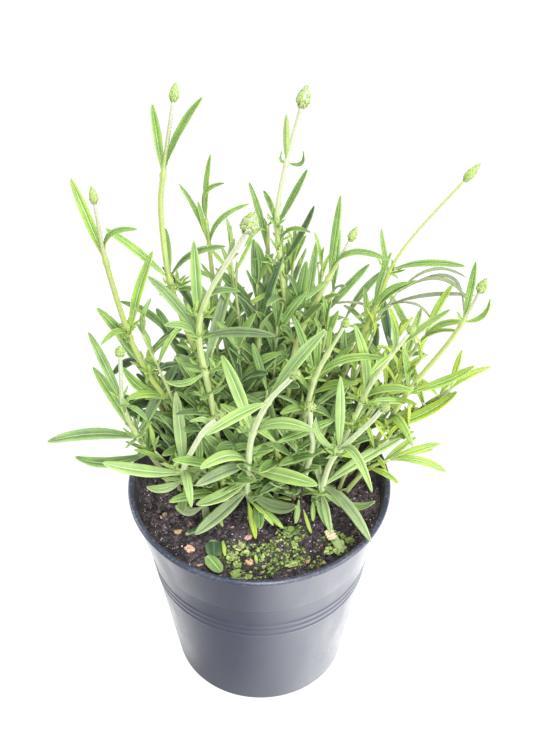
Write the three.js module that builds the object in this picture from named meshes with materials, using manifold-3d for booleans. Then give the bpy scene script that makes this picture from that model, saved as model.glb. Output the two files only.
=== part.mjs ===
import * as THREE from "three";
import { mergeVertices } from "three/addons/utils/BufferGeometryUtils.js";
import Module from "manifold-3d";

const wasm = await Module();
wasm.setup();

// Young lavender in a 13 cm grower's pot. Millimetres, +Z up.
// The origin is the centre of the flat pad under the pot.

// ---- Pot ----
const potHeight = 120;
const rimRadius = 65;
const baseRadius = 44.6;
const collarLineHeight = 89.6; // the step where the plain collar meets the tapered wall
const collarLineRadius = 57.1;
const collarStep = 0.8;
const lipHeight = 3.4;
const lipOverhang = 1.5;
const potWall = 1.4;
const ridgeHeights = [66.4, 71, 75.6]; // three fine ridges round the wall
const ridgeProud = 0.5;
const ridgeHalfHeight = 1.1;
const ridgeFoot = 0.1;
const footInnerRadius = 38;
const footRecess = 2; // the base stands on its foot ring and on the centre pad
const padRadius = 9;
const footBevel = 1;
const floorCurve = 2; // height and width of the round between floor and wall
const lipFlare = 1; // height of the slope under the lip
const lipRound = 0.8;
const drainCount = 6;
const drainRadius = 3.5;
const drainCircle = 24;
const potSegments = 36;

// ---- Compost ----
const soilLevel = 110;
const soilGap = 0.3; // clearance to the pot and to each stem
const soilRelief = 2.4;
const soilSegments = 32;
const soilRings = [0.93, 0.76, 0.58, 0.4, 0.2];

// ---- Stems, leaves and buds ----
const stemSides = 4; // lavender stems are square
const stemBaseRadius = 1.5;
const stalkRadius = 0.85; // bare flower stalk above the last leaves
const rootDepth = 8; // how far each stem stands in its hole
const leafBaseWidth = 1.7; // width = leafBaseWidth + leafWidthRate * length
const leafWidthRate = 0.082;
const leafCrown = 0.5; // the blade's middle stands this far above its edges
const leafKeel = 0.6; // and its midrib this far below them
const leafRootThickness = 0.6; // share of the crown and keel at the blade's root
const blades = { twist: 12, mostTurn: 80 }; // degrees
const tracedTurn = 0.62; // share of the way that a leaf set one by one turns to the light
const ruledTurn = 0.35; // and a leaf set by rule
const leafClearance = 0.35;
const tipClearance = 1; // the lowest that a blade hangs over the floor
const light = new THREE.Vector3(0, -0.72, 0.69); // where the blades turn their faces
const budSeat = 0.3;
const budSides = 6;
const bractOut = 1.14; // every other point of a ring stands out as a bract
const bractIn = 0.84;

// A blade's half width along it, as a share of the widest: root, belly, shoulder, near the tip.
const fullBlade = { stations: [0, 0.3, 0.62, 0.88], shares: [0.2, 0.86, 1, 0.6] };
const plainBlade = { stations: [0, 0.36, 0.78], shares: [0.2, 0.95, 0.86] };

// The swings tried in turn until a blade clears its neighbours: heading, rise, share of its length.
const swings = [
  [0, 0, 1], [7, 0, 1], [-7, 0, 1], [0, 7, 1], [0, -7, 1], [12, 6, 0.96], [-12, 6, 0.96],
  [12, -6, 0.96], [-12, -6, 0.96], [20, 0, 0.9], [-20, 0, 0.9], [0, 14, 0.9], [0, -14, 0.9],
  [30, 8, 0.85], [-30, 8, 0.85], [26, -12, 0.8], [-26, -12, 0.8], [0, 0, 0.7], [40, 0, 0.7],
  [-40, 0, 0.7], [10, 20, 0.6], [-10, 20, 0.6], [0, 0, 0.5],
];

const radians = Math.PI / 180;

// ---- The plant ----
// path: points of the stem's middle line, from the compost to the tip.
// leaves: share of the stem, heading (0 is +X, 90 is +Y), rise, length, bow (middle above chord).
// pairs: leaves set by rule in crossed pairs: [count, first share, last share, length, rise].
// bud: length and radius of the flower bud on the tip.
const plant = [
  {
    name: "stem_a", bud: [9, 2],
    path: [[-14, 22, 110], [-21, 23, 154], [-32, 23, 194], [-40, 24, 229], [-42, 25, 265],
      [-40, 25, 286], [-34, 26, 322]],
    leaves: [[0.83, 130, 82, 34, 0], [0.83, -5, 65, 44, 2], [0.57, -170, 50, 42, 1],
      [0.57, -15, 40, 36, 5], [0.57, 95, 5, 34, 1], [0.54, 50, -40, 26, 2]],
    pairs: [[2, 0.16, 0.36, 28, 34]],
  },
  {
    name: "stem_b", bud: [9, 1.9],
    path: [[-30, 16, 110], [-32, 15, 138], [-45, 13, 166], [-52, 12, 182], [-59, 11, 206],
      [-66, 8, 252], [-68, 6, 285]],
    leaves: [[0.82, 150, 70, 42, 0], [0.82, -15, 52, 26, 7], [0.56, 35, 70, 46, 2],
      [0.56, -125, 25, 22, 5], [0.42, 170, 60, 44, 2], [0.42, 90, -8, 24, 2],
      [0.32, -150, 55, 36, -3], [0.32, -140, 30, 26, 3]],
    pairs: [[2, 0.12, 0.24, 26, 30]],
  },
  {
    name: "stem_c", bud: [11, 2.8],
    path: [[10, 28, 110], [13, 27, 149], [14, 27, 196], [11, 26, 233], [9, 25, 264],
      [13, 25, 292], [19, 24, 320]],
    leaves: [[0.86, -90, 82, 28, 0], [0.86, -145, 75, 8, -2], [0.86, -25, 50, 12, -4],
      [0.7, -5, 68, 34, 0], [0.7, 105, 8, 24, 2], [0.59, -15, 68, 40, -1],
      [0.59, 135, -18, 20, 2], [0.65, -35, 40, 22, 5]],
    pairs: [[3, 0.18, 0.48, 30, 44]],
  },
  {
    name: "stem_d", bud: [10, 3],
    path: [[-15, 6, 110], [-19, 2, 140], [-22, -4, 179], [-26, -11, 224], [-22, -15, 249],
      [-12, -20, 274], [-4, -24, 292]],
    leaves: [[0.61, -25, 22, 40, 3], [0.61, -170, 62, 44, 2], [0.61, -140, 45, 26, 3],
      [0.64, 100, 78, 44, 0], [0.69, -20, 47, 26, 7], [0.48, 75, 25, 52, 2],
      [0.89, 75, 20, 12, 0], [0.48, -135, 25, 26, -3], [0.39, 65, 8, 34, 3],
      [0.48, 125, -12, 24, 0]],
    pairs: [[2, 0.14, 0.3, 28, 32]],
  },
  {
    name: "stem_e", bud: [8, 1.8],
    path: [[12, 17, 110], [14, 17, 159], [18, 18, 194], [28, 18, 223], [41, 18, 255]],
    leaves: [[0.85, 55, 80, 42, 0], [0.85, -30, 35, 36, 9], [0.85, -125, 2, 20, 0],
      [0.65, 80, 32, 42, 2], [0.65, -125, 55, 16, 3], [0.56, -170, 70, 26, 0]],
    pairs: [[3, 0.15, 0.45, 28, 40]],
  },
  {
    name: "stem_f", bud: [10, 2.3],
    path: [[22, 21, 110], [31, 22, 133], [42, 24, 172], [55, 26, 208], [61, 27, 231],
      [70, 28, 249], [91, 30, 278]],
    leaves: [[0.69, -30, 25, 40, 3], [0.68, 95, 18, 26, -2], [0.57, 25, 78, 32, 2],
      [0.55, -10, 50, 30, 3], [0.56, -15, 53, 26, 4], [0.51, 70, 15, 24, 1],
      [0.51, 90, 12, 24, 3], [0.51, 115, -12, 24, 2]],
    pairs: [[2, 0.15, 0.36, 26, 40]],
  },
  {
    name: "stem_g", bud: [9, 2.2],
    path: [[37, 12, 110], [43, 11, 117], [56, 10, 134], [71, 7, 173], [88, 4, 208],
      [96, 3, 230], [98, 2, 238]],
    leaves: [[0.86, 50, 78, 32, -1], [0.86, -25, 58, 22, -4], [0.86, 175, 68, 7, 0],
      [0.51, -10, 35, 36, -2], [0.51, 160, -30, 20, 2], [0.51, 160, 80, 26, 1],
      [0.32, -5, 38, 42, -3], [0.32, -65, 20, 28, 10], [0.32, 20, -8, 24, 3],
      [0.32, 115, -28, 18, 0]],
  },
  {
    name: "stem_h", bud: [7, 1.7],
    path: [[29, 10, 110], [37, 5, 132], [44, 0, 158], [53, -8, 196], [66, -16, 230]],
    leaves: [[0.9, -10, 50, 34, 1], [0.85, 130, 85, 24, 3], [0.85, -130, 2, 16, 2],
      [0.57, 130, 78, 42, 5], [0.57, -30, 35, 30, 4], [0.54, 25, -15, 24, 2],
      [0.4, 130, -10, 18, 2], [0.4, 60, -5, 22, 2]],
    pairs: [[1, 0.25, 0.25, 24, 30]],
  },
  {
    name: "stem_i", bud: [6, 1.6],
    path: [[15, 8, 110], [20, 3, 145], [26, -3, 191], [38, -10, 229]],
    leaves: [[0.83, 5, 70, 20, 0], [0.83, 85, 5, 18, 0], [0.67, 135, 65, 34, 1],
      [0.67, -15, 32, 38, 6]],
    pairs: [[2, 0.2, 0.45, 26, 34]],
  },
  {
    name: "stem_j", bud: [7, 2.6],
    path: [[20, 0, 110], [25, -14, 156], [24, -20, 175], [23, -26, 194]],
    leaves: [[0.5, 65, 8, 22, 2]],
  },
  {
    name: "stem_k", bud: [8, 2.2],
    path: [[28, -6, 110], [30, -9, 121], [33, -18, 149], [37, -23, 164], [48, -38, 196],
      [53, -46, 213]],
    leaves: [[0.51, 90, 72, 38, 2], [0.51, 175, 55, 24, -4], [0.48, -65, 10, 34, 12],
      [0.14, 175, 20, 34, 4], [0.13, 110, 45, 47, 3], [0.16, 20, 25, 46, 2],
      [0.12, -30, 15, 30, -7], [0.17, -60, 0, 42, 6], [0.09, -80, -8, 24, 3]],
  },
  {
    name: "stem_l", bud: [8, 2.1],
    path: [[-5, -4, 110], [-6, -8, 122], [-5, -18, 152], [-3, -27, 179], [4, -40, 212],
      [14, -52, 238]],
    leaves: [[0.79, -135, 10, 38, 2], [0.79, 20, 52, 42, 2], [0.53, 120, 45, 39, 2],
      [0.53, -25, 25, 34, 6], [0.32, -145, 24, 30, 6], [0.3, -145, 8, 30, 2],
      [0.27, -30, 12, 38, 1], [0.17, -140, 10, 32, -2], [0.08, -135, -4, 36, 0],
      [0.09, -40, 18, 32, -5]],
  },
  {
    name: "stem_m", bud: [8, 2.4],
    path: [[-28, -2, 110], [-34, -7, 122], [-36, -14, 143], [-26, -27, 180], [-18, -34, 197]],
    leaves: [[0.79, -155, 62, 12, 6], [0.38, -80, -2, 24, 6], [0.38, 100, 66, 40, 2],
      [0.36, -160, 28, 44, -2], [0.27, -140, 25, 26, -3], [0.22, -100, 20, 26, -6]],
  },
  {
    name: "stem_n", bud: [7, 2.2],
    path: [[-47, 12, 110], [-54, 6, 135], [-58, 2, 149], [-63, -5, 178], [-61, -14, 217]],
    leaves: [[0.64, 130, 52, 38, 1], [0.64, -30, -18, 14, 3], [0.37, -160, 17, 46, 4],
      [0.37, 135, 42, 41, 1], [0.37, 40, 35, 44, 2], [0.24, -150, 24, 42, -5],
      [0.24, 90, 2, 18, 1]],
  },
  {
    name: "stem_o",
    path: [[-9, 32, 110], [-10, 32, 116], [-15, 37, 174], [-20, 40, 206], [-23, 44, 248]],
    leaves: [[1, 5, 85, 36, 1], [1, -30, 66, 26, 6], [0.89, 160, 67, 36, 2],
      [0.9, -175, 80, 26, 0], [0.88, 2, 54, 32, 6], [0.76, 60, 0, 24, 2],
      [0.76, 125, -16, 20, 1]],
    pairs: [[2, 0.26, 0.55, 28, 44]],
  },
  {
    name: "stem_p",
    path: [[2, 40, 110], [2, 41, 126], [5, 41, 179], [5, 42, 215], [5, 43, 245]],
    leaves: [[1, -70, 82, 28, -2], [0.89, 175, 78, 40, 1], [0.97, -120, 15, 22, 5],
      [0.98, 100, 0, 10, 0]],
    pairs: [[2, 0.3, 0.6, 28, 48]],
  },
  {
    name: "lime_a",
    path: [[44, 24, 110], [58, 26, 142], [70, 28, 170], [80, 28, 190]],
    leaves: [[1, 30, 62, 30, 2], [1, -30, 40, 26, 3]],
    pairs: [[4, 0.5, 0.92, 27, 42]],
  },
  {
    name: "lime_b",
    path: [[47, 16, 110], [62, 16, 130], [78, 14, 152], [92, 12, 170]],
    leaves: [[1, 10, 30, 22, 2], [1, 60, 60, 20, 1]],
    pairs: [[4, 0.45, 0.9, 22, 34]],
  },
  {
    name: "lime_c",
    path: [[44, 2, 110], [54, 2, 126], [64, 0, 134]],
    leaves: [[1, 5, 20, 26, 1], [1, 12, 6, 22, 2], [1, -14, -4, 28, 4], [0.9, 30, 24, 20, 1],
      [0.6, -40, 4, 18, 2]],
  },
  {
    name: "limp_leaves", slim: 0.4,
    path: [[30, 36, 110], [42, 38, 150], [54, 38, 185], [66, 34, 212]],
    leaves: [[1, 5, -25, 36, 17], [1, -10, -10, 36, 14], [1, 10, 5, 34, 10], [0.9, 0, 8, 42, 4],
      [0.9, -20, -20, 24, 8], [0.85, 170, 10, 26, 4]],
  },
  {
    name: "shoot_a",
    path: [[0, 18, 110], [-2, 17, 150], [0, 16, 190], [2, 15, 212]],
    pairs: [[5, 0.4, 1, 32, 50]],
  },
  {
    name: "shoot_b",
    path: [[-24, 32, 110], [-28, 35, 150], [-28, 35, 192]],
    pairs: [[4, 0.4, 1, 32, 52]],
  },
  {
    name: "shoot_c",
    path: [[18, 34, 110], [22, 38, 150], [30, 40, 188], [36, 40, 208]],
    pairs: [[5, 0.4, 1, 30, 52]],
  },
  {
    name: "shoot_d",
    path: [[-40, 26, 110], [-48, 29, 140], [-56, 31, 172]],
    pairs: [[4, 0.35, 1, 32, 40]],
  },
  {
    name: "shoot_e",
    path: [[8, -1, 110], [9, -9, 140], [8, -13, 160]],
    pairs: [[3, 0.4, 1, 30, 34]],
  },
  {
    name: "shoot_f",
    path: [[-17, -7, 110], [-18, -11, 126], [-16, -17, 146]],
    pairs: [[3, 0.3, 1, 30, 26]],
  },
  {
    name: "shoot_g",
    path: [[2, 51, 110], [0, 58, 140], [-4, 64, 174]],
    pairs: [[4, 0.35, 1, 34, 40]],
  },
  {
    name: "shoot_h",
    path: [[-26, 46, 110], [-34, 54, 135], [-44, 60, 162]],
    pairs: [[4, 0.35, 1, 32, 32]],
  },
  {
    name: "shoot_i",
    path: [[26, 47, 110], [34, 54, 142], [44, 60, 174]],
    pairs: [[4, 0.35, 1, 34, 38]],
  },
  {
    name: "shoot_j",
    path: [[42, 34, 110], [54, 42, 138], [66, 48, 164]],
    pairs: [[4, 0.35, 1, 30, 34]],
  },
  {
    name: "shoot_k",
    path: [[-13, 13, 110], [-11, 8, 150], [-8, 4, 182]],
    pairs: [[4, 0.4, 1, 30, 48]],
  },
];

// ---- Helpers ----
const v3 = (x, y, z) => new THREE.Vector3(x, y, z);

// A seeded draw between -1 and 1: the same number gives the same draw.
function draw(seed) {
  const wave = Math.sin(seed * 12.9898 + 4.1414) * 43758.5453;
  return 2 * (wave - Math.floor(wave)) - 1;
}

// A closed geometry as a solid, its shared vertices merged and its empty faces dropped.
function solidOf(geometry) {
  const bare = new THREE.BufferGeometry();
  bare.setAttribute("position", geometry.getAttribute("position"));
  if (geometry.index) bare.setIndex(geometry.index);
  const merged = mergeVertices(bare, 1e-4);
  const corners = merged.index.array;
  const faces = [];
  for (let i = 0; i < corners.length; i += 3) {
    const [a, b, c] = [corners[i], corners[i + 1], corners[i + 2]];
    if (a !== b && b !== c && c !== a) faces.push(a, b, c);
  }
  return new wasm.Manifold(new wasm.Mesh({
    numProp: 3,
    vertProperties: new Float32Array(merged.getAttribute("position").array),
    triVerts: new Uint32Array(faces),
  }));
}

function geometryOf(solid) {
  const mesh = solid.getMesh();
  const geometry = new THREE.BufferGeometry();
  geometry.setAttribute("position", new THREE.BufferAttribute(new Float32Array(mesh.vertProperties), 3));
  geometry.setIndex(new THREE.BufferAttribute(new Uint32Array(mesh.triVerts), 1));
  geometry.computeVertexNormals();
  return geometry;
}

// Solids joined into one body: hollows that the joint seals are filled and loose scraps dropped.
function fuse(solids) {
  let body = solids[0];
  for (const solid of solids.slice(1)) body = body.add(solid);
  const pieces = body.decompose();
  return pieces.reduce((best, piece) => (piece.volume() > best.volume() ? piece : best));
}

// Closed skin through rings of points that run anticlockwise round the way ahead.
// The last ring may be one point, a pointed end. On a blade the split of each face runs from
// the midrib to the edge, alike on its upper and its under side.
function skin(rings, isBlade = false) {
  const points = rings.flat();
  const faces = [];
  let start = 0;
  for (let k = 0; k + 1 < rings.length; k += 1) {
    const sides = rings[k].length;
    const next = start + sides;
    for (let i = 0; i < sides; i += 1) {
      const j = (i + 1) % sides;
      if (rings[k + 1].length === 1) faces.push(start + i, start + j, next);
      else if (isBlade && i % 2 === 0) {
        faces.push(start + i, start + j, next + i, start + j, next + j, next + i);
      } else faces.push(start + i, start + j, next + j, start + i, next + j, next + i);
    }
    start = next;
  }
  const last = rings[rings.length - 1].length;
  for (let i = 1; i + 1 < rings[0].length; i += 1) faces.push(0, i + 1, i);
  for (let i = 1; i + 1 < last; i += 1) faces.push(start, start + i, start + i + 1);
  const geometry = new THREE.BufferGeometry();
  geometry.setAttribute("position", new THREE.BufferAttribute(
    new Float32Array(points.flatMap((p) => [p.x, p.y, p.z])), 3));
  geometry.setIndex(faces);
  return geometry;
}

// ---- Pot ----
function potOuterRadius(z) {
  if (z < collarLineHeight) {
    return baseRadius + (collarLineRadius - baseRadius) * (z / collarLineHeight);
  }
  const share = (z - collarLineHeight) / (potHeight - lipHeight - collarLineHeight);
  const foot = collarLineRadius + collarStep;
  return foot + (rimRadius - lipOverhang - foot) * Math.min(share, 1);
}

function makePot() {
  const floorTop = footRecess + potWall;
  const outline = [[0, 0], [padRadius, 0], [padRadius + footBevel, footRecess],
    [footInnerRadius, footRecess], [footInnerRadius + footBevel, 0], [baseRadius, 0]];
  for (const z of ridgeHeights) {
    const r = potOuterRadius(z);
    outline.push([r - ridgeFoot, z - ridgeHalfHeight], [r + ridgeProud, z],
      [r + ridgeFoot, z + ridgeHalfHeight]);
  }
  const lipFoot = potHeight - lipHeight;
  const innerTop = rimRadius - lipOverhang - potWall;
  outline.push(
    [collarLineRadius, collarLineHeight - collarStep / 2],
    [collarLineRadius + collarStep, collarLineHeight + collarStep / 2],
    [potOuterRadius(lipFoot), lipFoot], [rimRadius, lipFoot + lipFlare],
    [rimRadius, potHeight - lipRound], [rimRadius - lipRound, potHeight],
    [innerTop, potHeight - lipRound], [potOuterRadius(collarLineHeight) - potWall, collarLineHeight],
    [baseRadius - potWall, floorTop + floorCurve], [baseRadius - potWall - floorCurve, floorTop],
    [0, floorTop]);
  const shell = new THREE.LatheGeometry(outline.map(([r, z]) => new THREE.Vector2(r, z)), potSegments);
  let pot = solidOf(shell.rotateX(Math.PI / 2));
  for (let i = 0; i < drainCount; i += 1) {
    const turn = (i / drainCount) * 2 * Math.PI;
    const drain = new THREE.CylinderGeometry(drainRadius, drainRadius, 12, 6).rotateX(Math.PI / 2);
    drain.translate(drainCircle * Math.cos(turn), drainCircle * Math.sin(turn), 0);
    pot = pot.subtract(solidOf(drain));
  }
  return pot;
}

// ---- Compost ----
// A plain square hole that the foot of a stem stands in.
function makeHole([x, y, z]) {
  const radius = stemBaseRadius + soilGap * Math.SQRT2;
  const ring = (height) => Array.from({ length: stemSides }, (_, i) => {
    const turn = (i / stemSides) * 2 * Math.PI;
    return v3(x + radius * Math.cos(turn), y + radius * Math.sin(turn), height);
  });
  return skin([ring(z - rootDepth - soilGap), ring(z + 1)]);
}

function potInnerRadius(z) {
  const floorTop = footRecess + potWall;
  const low = baseRadius - potWall;
  const lowHeight = floorTop + floorCurve;
  const line = collarLineRadius + collarStep - potWall;
  const innerTop = rimRadius - lipOverhang - potWall;
  if (z < collarLineHeight) return low + (line - low) * ((z - lowHeight) / (collarLineHeight - lowHeight));
  return line + (innerTop - line) * ((z - collarLineHeight) / (potHeight - lipRound - collarLineHeight));
}

// Height of the crumbly top: three crossed waves that dip below the compost's highest level.
function soilHeight(x, y) {
  const waves = Math.sin(x * 0.19 + 1.3) * Math.cos(y * 0.23 - 0.4)
    + 0.6 * Math.sin(x * 0.41 - y * 0.37) + 0.4 * Math.cos(x * 0.09 + y * 0.47);
  return soilLevel - soilRelief * (0.5 + 0.25 * waves);
}

function makeSoil() {
  const bottom = footRecess + potWall + soilGap;
  // The lathe's wall lies inside the pot's flats.
  const flat = Math.cos(Math.PI / potSegments);
  const radiusAt = (z) => potInnerRadius(z) * flat - soilGap;
  const outline = [[0, bottom], [baseRadius - potWall - floorCurve - 1, bottom],
    [radiusAt(bottom + floorCurve), bottom + floorCurve],
    [radiusAt(collarLineHeight), collarLineHeight], [radiusAt(soilLevel), soilLevel]];
  for (const share of soilRings) outline.push([radiusAt(soilLevel) * share, soilLevel]);
  outline.push([0, soilLevel]);
  const mound = new THREE.LatheGeometry(outline.map(([r, z]) => new THREE.Vector2(r, z)), soilSegments);
  mound.rotateX(Math.PI / 2);
  const places = mound.getAttribute("position");
  const edge = radiusAt(soilLevel) - 1;
  for (let i = 0; i < places.count; i += 1) {
    const [x, y, z] = [places.getX(i), places.getY(i), places.getZ(i)];
    if (z > soilLevel - 0.01 && Math.hypot(x, y) < edge) places.setZ(i, soilHeight(x, y));
  }
  let soil = solidOf(mound);
  for (const { path } of plant) soil = soil.subtract(solidOf(makeHole(path[0])));
  return soil;
}

// ---- Stems ----
// A point at a share of the way along the path's own points, measured in straight lengths.
function pointOn(path, share) {
  const points = path.map(([x, y, z]) => v3(x, y, z));
  const lengths = points.slice(1).map((p, i) => p.distanceTo(points[i]));
  let left = share * lengths.reduce((sum, length) => sum + length, 0);
  for (let i = 0; i < lengths.length; i += 1) {
    if (left <= lengths[i] || i === lengths.length - 1) {
      return points[i].clone().lerp(points[i + 1], Math.min(left / lengths[i], 1));
    }
    left -= lengths[i];
  }
  return points[0];
}

// Square tube along the path's points, thinning towards the tip.
function makeStem(path, tipRadius) {
  const points = path.map(([x, y, z]) => v3(x, y, z));
  const centres = [points[0].clone().setZ(points[0].z - rootDepth), ...points];
  const rings = centres.map((centre, k) => {
    const ahead = centres[Math.min(k + 1, centres.length - 1)].clone().sub(centres[Math.max(k - 1, 0)]);
    const way = k === 0 ? v3(0, 0, 1) : ahead.normalize();
    const side = v3(1, 0, 0).addScaledVector(way, -way.x).normalize();
    const front = way.clone().cross(side);
    const radius = stemBaseRadius + (tipRadius - stemBaseRadius) * (k / (centres.length - 1));
    return Array.from({ length: stemSides }, (_, i) => {
      const turn = (i / stemSides) * 2 * Math.PI;
      return centre.clone().addScaledVector(side, radius * Math.cos(turn))
        .addScaledVector(front, radius * Math.sin(turn));
    });
  });
  return skin(rings);
}

// ---- Leaves ----
// Blade on a bent line: base, a middle raised by twice the bow, and the tip. Its face turns
// part of the way to the light. fat widens it on all sides, for the clearance test.
function makeBlade(base, leaf, fat = 0) {
  const { heading, rise, length, bow, seed, turn, slim } = leaf;
  const outline = turn === tracedTurn ? fullBlade : plainBlade;
  const [h, e] = [heading * radians, rise * radians];
  const way = v3(Math.cos(e) * Math.cos(h), Math.cos(e) * Math.sin(h), Math.sin(e));
  const side = v3(Math.sin(h), -Math.cos(h), 0);
  const up = side.clone().cross(way);
  const tip = base.clone().addScaledVector(way, length);
  const middle = base.clone().lerp(tip, 0.5).addScaledVector(up, 2 * bow);
  const lit = light.clone().addScaledVector(way, -light.dot(way)).normalize();
  const wanted = up.clone().multiplyScalar(1 - turn).addScaledVector(lit, turn);
  const most = blades.mostTurn * radians;
  const roll = Math.max(-most, Math.min(most, Math.atan2(-wanted.dot(side), wanted.dot(up))))
    + blades.twist * radians * draw(seed);
  const halfWidth = slim * (leafBaseWidth + leafWidthRate * length) / 2;
  const rings = outline.stations.map((u, k) => {
    const centre = base.clone().multiplyScalar((1 - u) ** 2).addScaledVector(middle, 2 * u * (1 - u))
      .addScaledVector(tip, u * u);
    const along = middle.clone().sub(base).multiplyScalar(1 - u)
      .addScaledVector(tip.clone().sub(middle), u).normalize();
    const flatUp = side.clone().cross(along).normalize();
    const across = side.clone().multiplyScalar(Math.cos(roll)).addScaledVector(flatUp, Math.sin(roll));
    const face = flatUp.clone().multiplyScalar(Math.cos(roll)).addScaledVector(side, -Math.sin(roll));
    const half = halfWidth * outline.shares[k] + fat;
    const thick = k === 0 ? leafRootThickness : 1;
    return [centre.clone().addScaledVector(across, -half),
      centre.clone().addScaledVector(face, leafCrown * thick + fat),
      centre.clone().addScaledVector(across, half),
      centre.clone().addScaledVector(face, -leafKeel * thick - fat)];
  });
  rings.push([tip.clone().addScaledVector(way, fat)]);
  return skin(rings, true);
}

// ---- Flower buds ----
// A young head: rings whose radius swells and shrinks again, with bracts in crossed rows.
function makeBud(path, [length, radius], seed) {
  const points = path.slice(-2).map(([x, y, z]) => v3(x, y, z));
  const way = points[1].clone().sub(points[0]).normalize();
  const side = v3(1, 0, 0).addScaledVector(way, -way.x).normalize();
  const front = way.clone().cross(side);
  const shares = [0, 0.12, 0.3, 0.48, 0.66, 0.84];
  const swells = [0.45, 0.9, 1, 0.97, 0.82, 0.52];
  const rings = shares.map((share, k) => Array.from({ length: budSides }, (_, i) => {
    const turn = (i / budSides) * 2 * Math.PI + 0.3 * draw(seed);
    const bract = (i + k) % 2 === 0 ? bractOut : bractIn;
    const r = radius * swells[k] * bract;
    return points[1].clone().addScaledVector(way, budSeat + share * length)
      .addScaledVector(side, r * Math.cos(turn)).addScaledVector(front, r * Math.sin(turn));
  }));
  rings.push([points[1].clone().addScaledVector(way, budSeat + length)]);
  return skin(rings);
}

// ---- The whole plant ----
// The leaves of one stem: those set one by one, then the pairs set by rule.
function leavesOf(stem, index) {
  const leaves = (stem.leaves ?? []).map(([share, heading, rise, length, bow], k) => ({
    share, heading, rise, length, bow, seed: index * 100 + k, turn: tracedTurn,
    slim: stem.slim ?? 1,
  }));
  (stem.pairs ?? []).forEach(([count, first, last, length, rise], set) => {
    for (let i = 0; i < count; i += 1) {
      const share = count > 1 ? first + (last - first) * (i / (count - 1)) : first;
      for (let half = 0; half < 2; half += 1) {
        const seed = index * 100 + 30 + set * 30 + i * 2 + half;
        leaves.push({
          share,
          heading: (index * 37 + i * 90 + half * 180 + 22 * draw(seed + 0.1)) % 360,
          rise: rise + 14 * draw(seed + 0.2),
          length: length * (1 + 0.18 * draw(seed + 0.3)),
          bow: 2 + 2 * draw(seed + 0.4),
          seed,
          turn: ruledTurn,
          slim: 1,
        });
      }
    }
  });
  return leaves;
}

const boxOf = (geometry) => new THREE.Box3().setFromBufferAttribute(geometry.getAttribute("position"));

const pot = makePot();
const stemGeometries = plant.map((stem) => makeStem(stem.path, stem.bud ? stalkRadius : 1));
const soil = makeSoil();
const buds = plant.map((stem, i) => (stem.bud ? makeBud(stem.path, stem.bud, i) : null));

// Everything placed so far, with the number of the stem that it belongs to.
const placed = [];
const place = (owner, geometry) => placed.push({ owner, box: boxOf(geometry), solid: solidOf(geometry) });
stemGeometries.forEach((geometry, i) => place(i, geometry));
buds.forEach((geometry, i) => geometry && place(-2 - i, geometry));
placed.push({
  owner: -1,
  box: new THREE.Box3(v3(-rimRadius, -rimRadius, 0), v3(rimRadius, rimRadius, potHeight)),
  solid: pot.add(soil),
});

const limbs = plant.map((stem, i) => [solidOf(stemGeometries[i])]);
for (const turn of [tracedTurn, ruledTurn]) {
  plant.forEach((stem, i) => {
    for (const leaf of leavesOf(stem, i).filter((one) => one.turn === turn)) {
      const base = pointOn(stem.path, leaf.share);
      for (const [dHeading, dRise, share] of swings) {
        const swung = {
          ...leaf, heading: leaf.heading + dHeading, rise: leaf.rise + dRise, length: leaf.length * share,
        };
        const fatBlade = makeBlade(base, swung, leafClearance);
        const box = boxOf(fatBlade);
        const near = placed.filter((other) => other.owner !== i && other.box.intersectsBox(box));
        const test = near.length ? solidOf(fatBlade) : null;
        if (box.min.z < tipClearance || near.some((other) => !test.intersect(other.solid).isEmpty())) continue;
        const blade = makeBlade(base, swung);
        place(i, blade);
        limbs[i].push(solidOf(blade));
        break;
      }
    }
  });
}

// ---- Scene graph ----
const group = new THREE.Group();
function addMesh(name, geometry, color, roughness) {
  const mesh = new THREE.Mesh(geometry, new THREE.MeshStandardMaterial({ color, roughness, metalness: 0 }));
  mesh.name = name;
  group.add(mesh);
}
addMesh("pot", geometryOf(pot), 0x5f6672, 0.45);
addMesh("soil", geometryOf(soil), 0x33261f, 0.95);
plant.forEach((stem, i) => {
  addMesh(stem.name, geometryOf(fuse(limbs[i])), 0x7fa552, 0.75);
  if (buds[i]) addMesh(stem.name.replace("stem", "bud"), geometryOf(solidOf(buds[i])), 0x9fb76a, 0.8);
});

export default group;
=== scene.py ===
import math

import bpy
import numpy as np
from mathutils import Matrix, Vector


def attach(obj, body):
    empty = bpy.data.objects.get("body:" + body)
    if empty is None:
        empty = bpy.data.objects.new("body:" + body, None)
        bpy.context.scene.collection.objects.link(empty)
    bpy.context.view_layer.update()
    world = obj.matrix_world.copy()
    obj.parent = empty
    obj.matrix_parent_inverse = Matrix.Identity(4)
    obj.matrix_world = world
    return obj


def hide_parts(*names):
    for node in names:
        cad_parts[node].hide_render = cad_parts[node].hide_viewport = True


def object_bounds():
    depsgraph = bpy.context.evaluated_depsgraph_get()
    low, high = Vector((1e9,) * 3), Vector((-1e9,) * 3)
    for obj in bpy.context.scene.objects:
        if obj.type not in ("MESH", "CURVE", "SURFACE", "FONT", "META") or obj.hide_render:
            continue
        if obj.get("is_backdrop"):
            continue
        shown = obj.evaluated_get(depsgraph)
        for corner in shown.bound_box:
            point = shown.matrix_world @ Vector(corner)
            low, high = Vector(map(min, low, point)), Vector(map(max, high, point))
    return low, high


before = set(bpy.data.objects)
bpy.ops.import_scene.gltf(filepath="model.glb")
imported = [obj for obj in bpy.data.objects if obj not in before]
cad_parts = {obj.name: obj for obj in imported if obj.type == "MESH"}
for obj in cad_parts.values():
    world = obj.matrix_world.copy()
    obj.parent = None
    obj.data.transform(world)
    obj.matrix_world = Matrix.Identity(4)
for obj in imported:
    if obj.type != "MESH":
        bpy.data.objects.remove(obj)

# Young lavender in a grower's pot. Sizes in the dictionaries are millimetres, the meshes are metres.
cadBox = [list(corner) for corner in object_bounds()]
mm = 0.001
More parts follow.
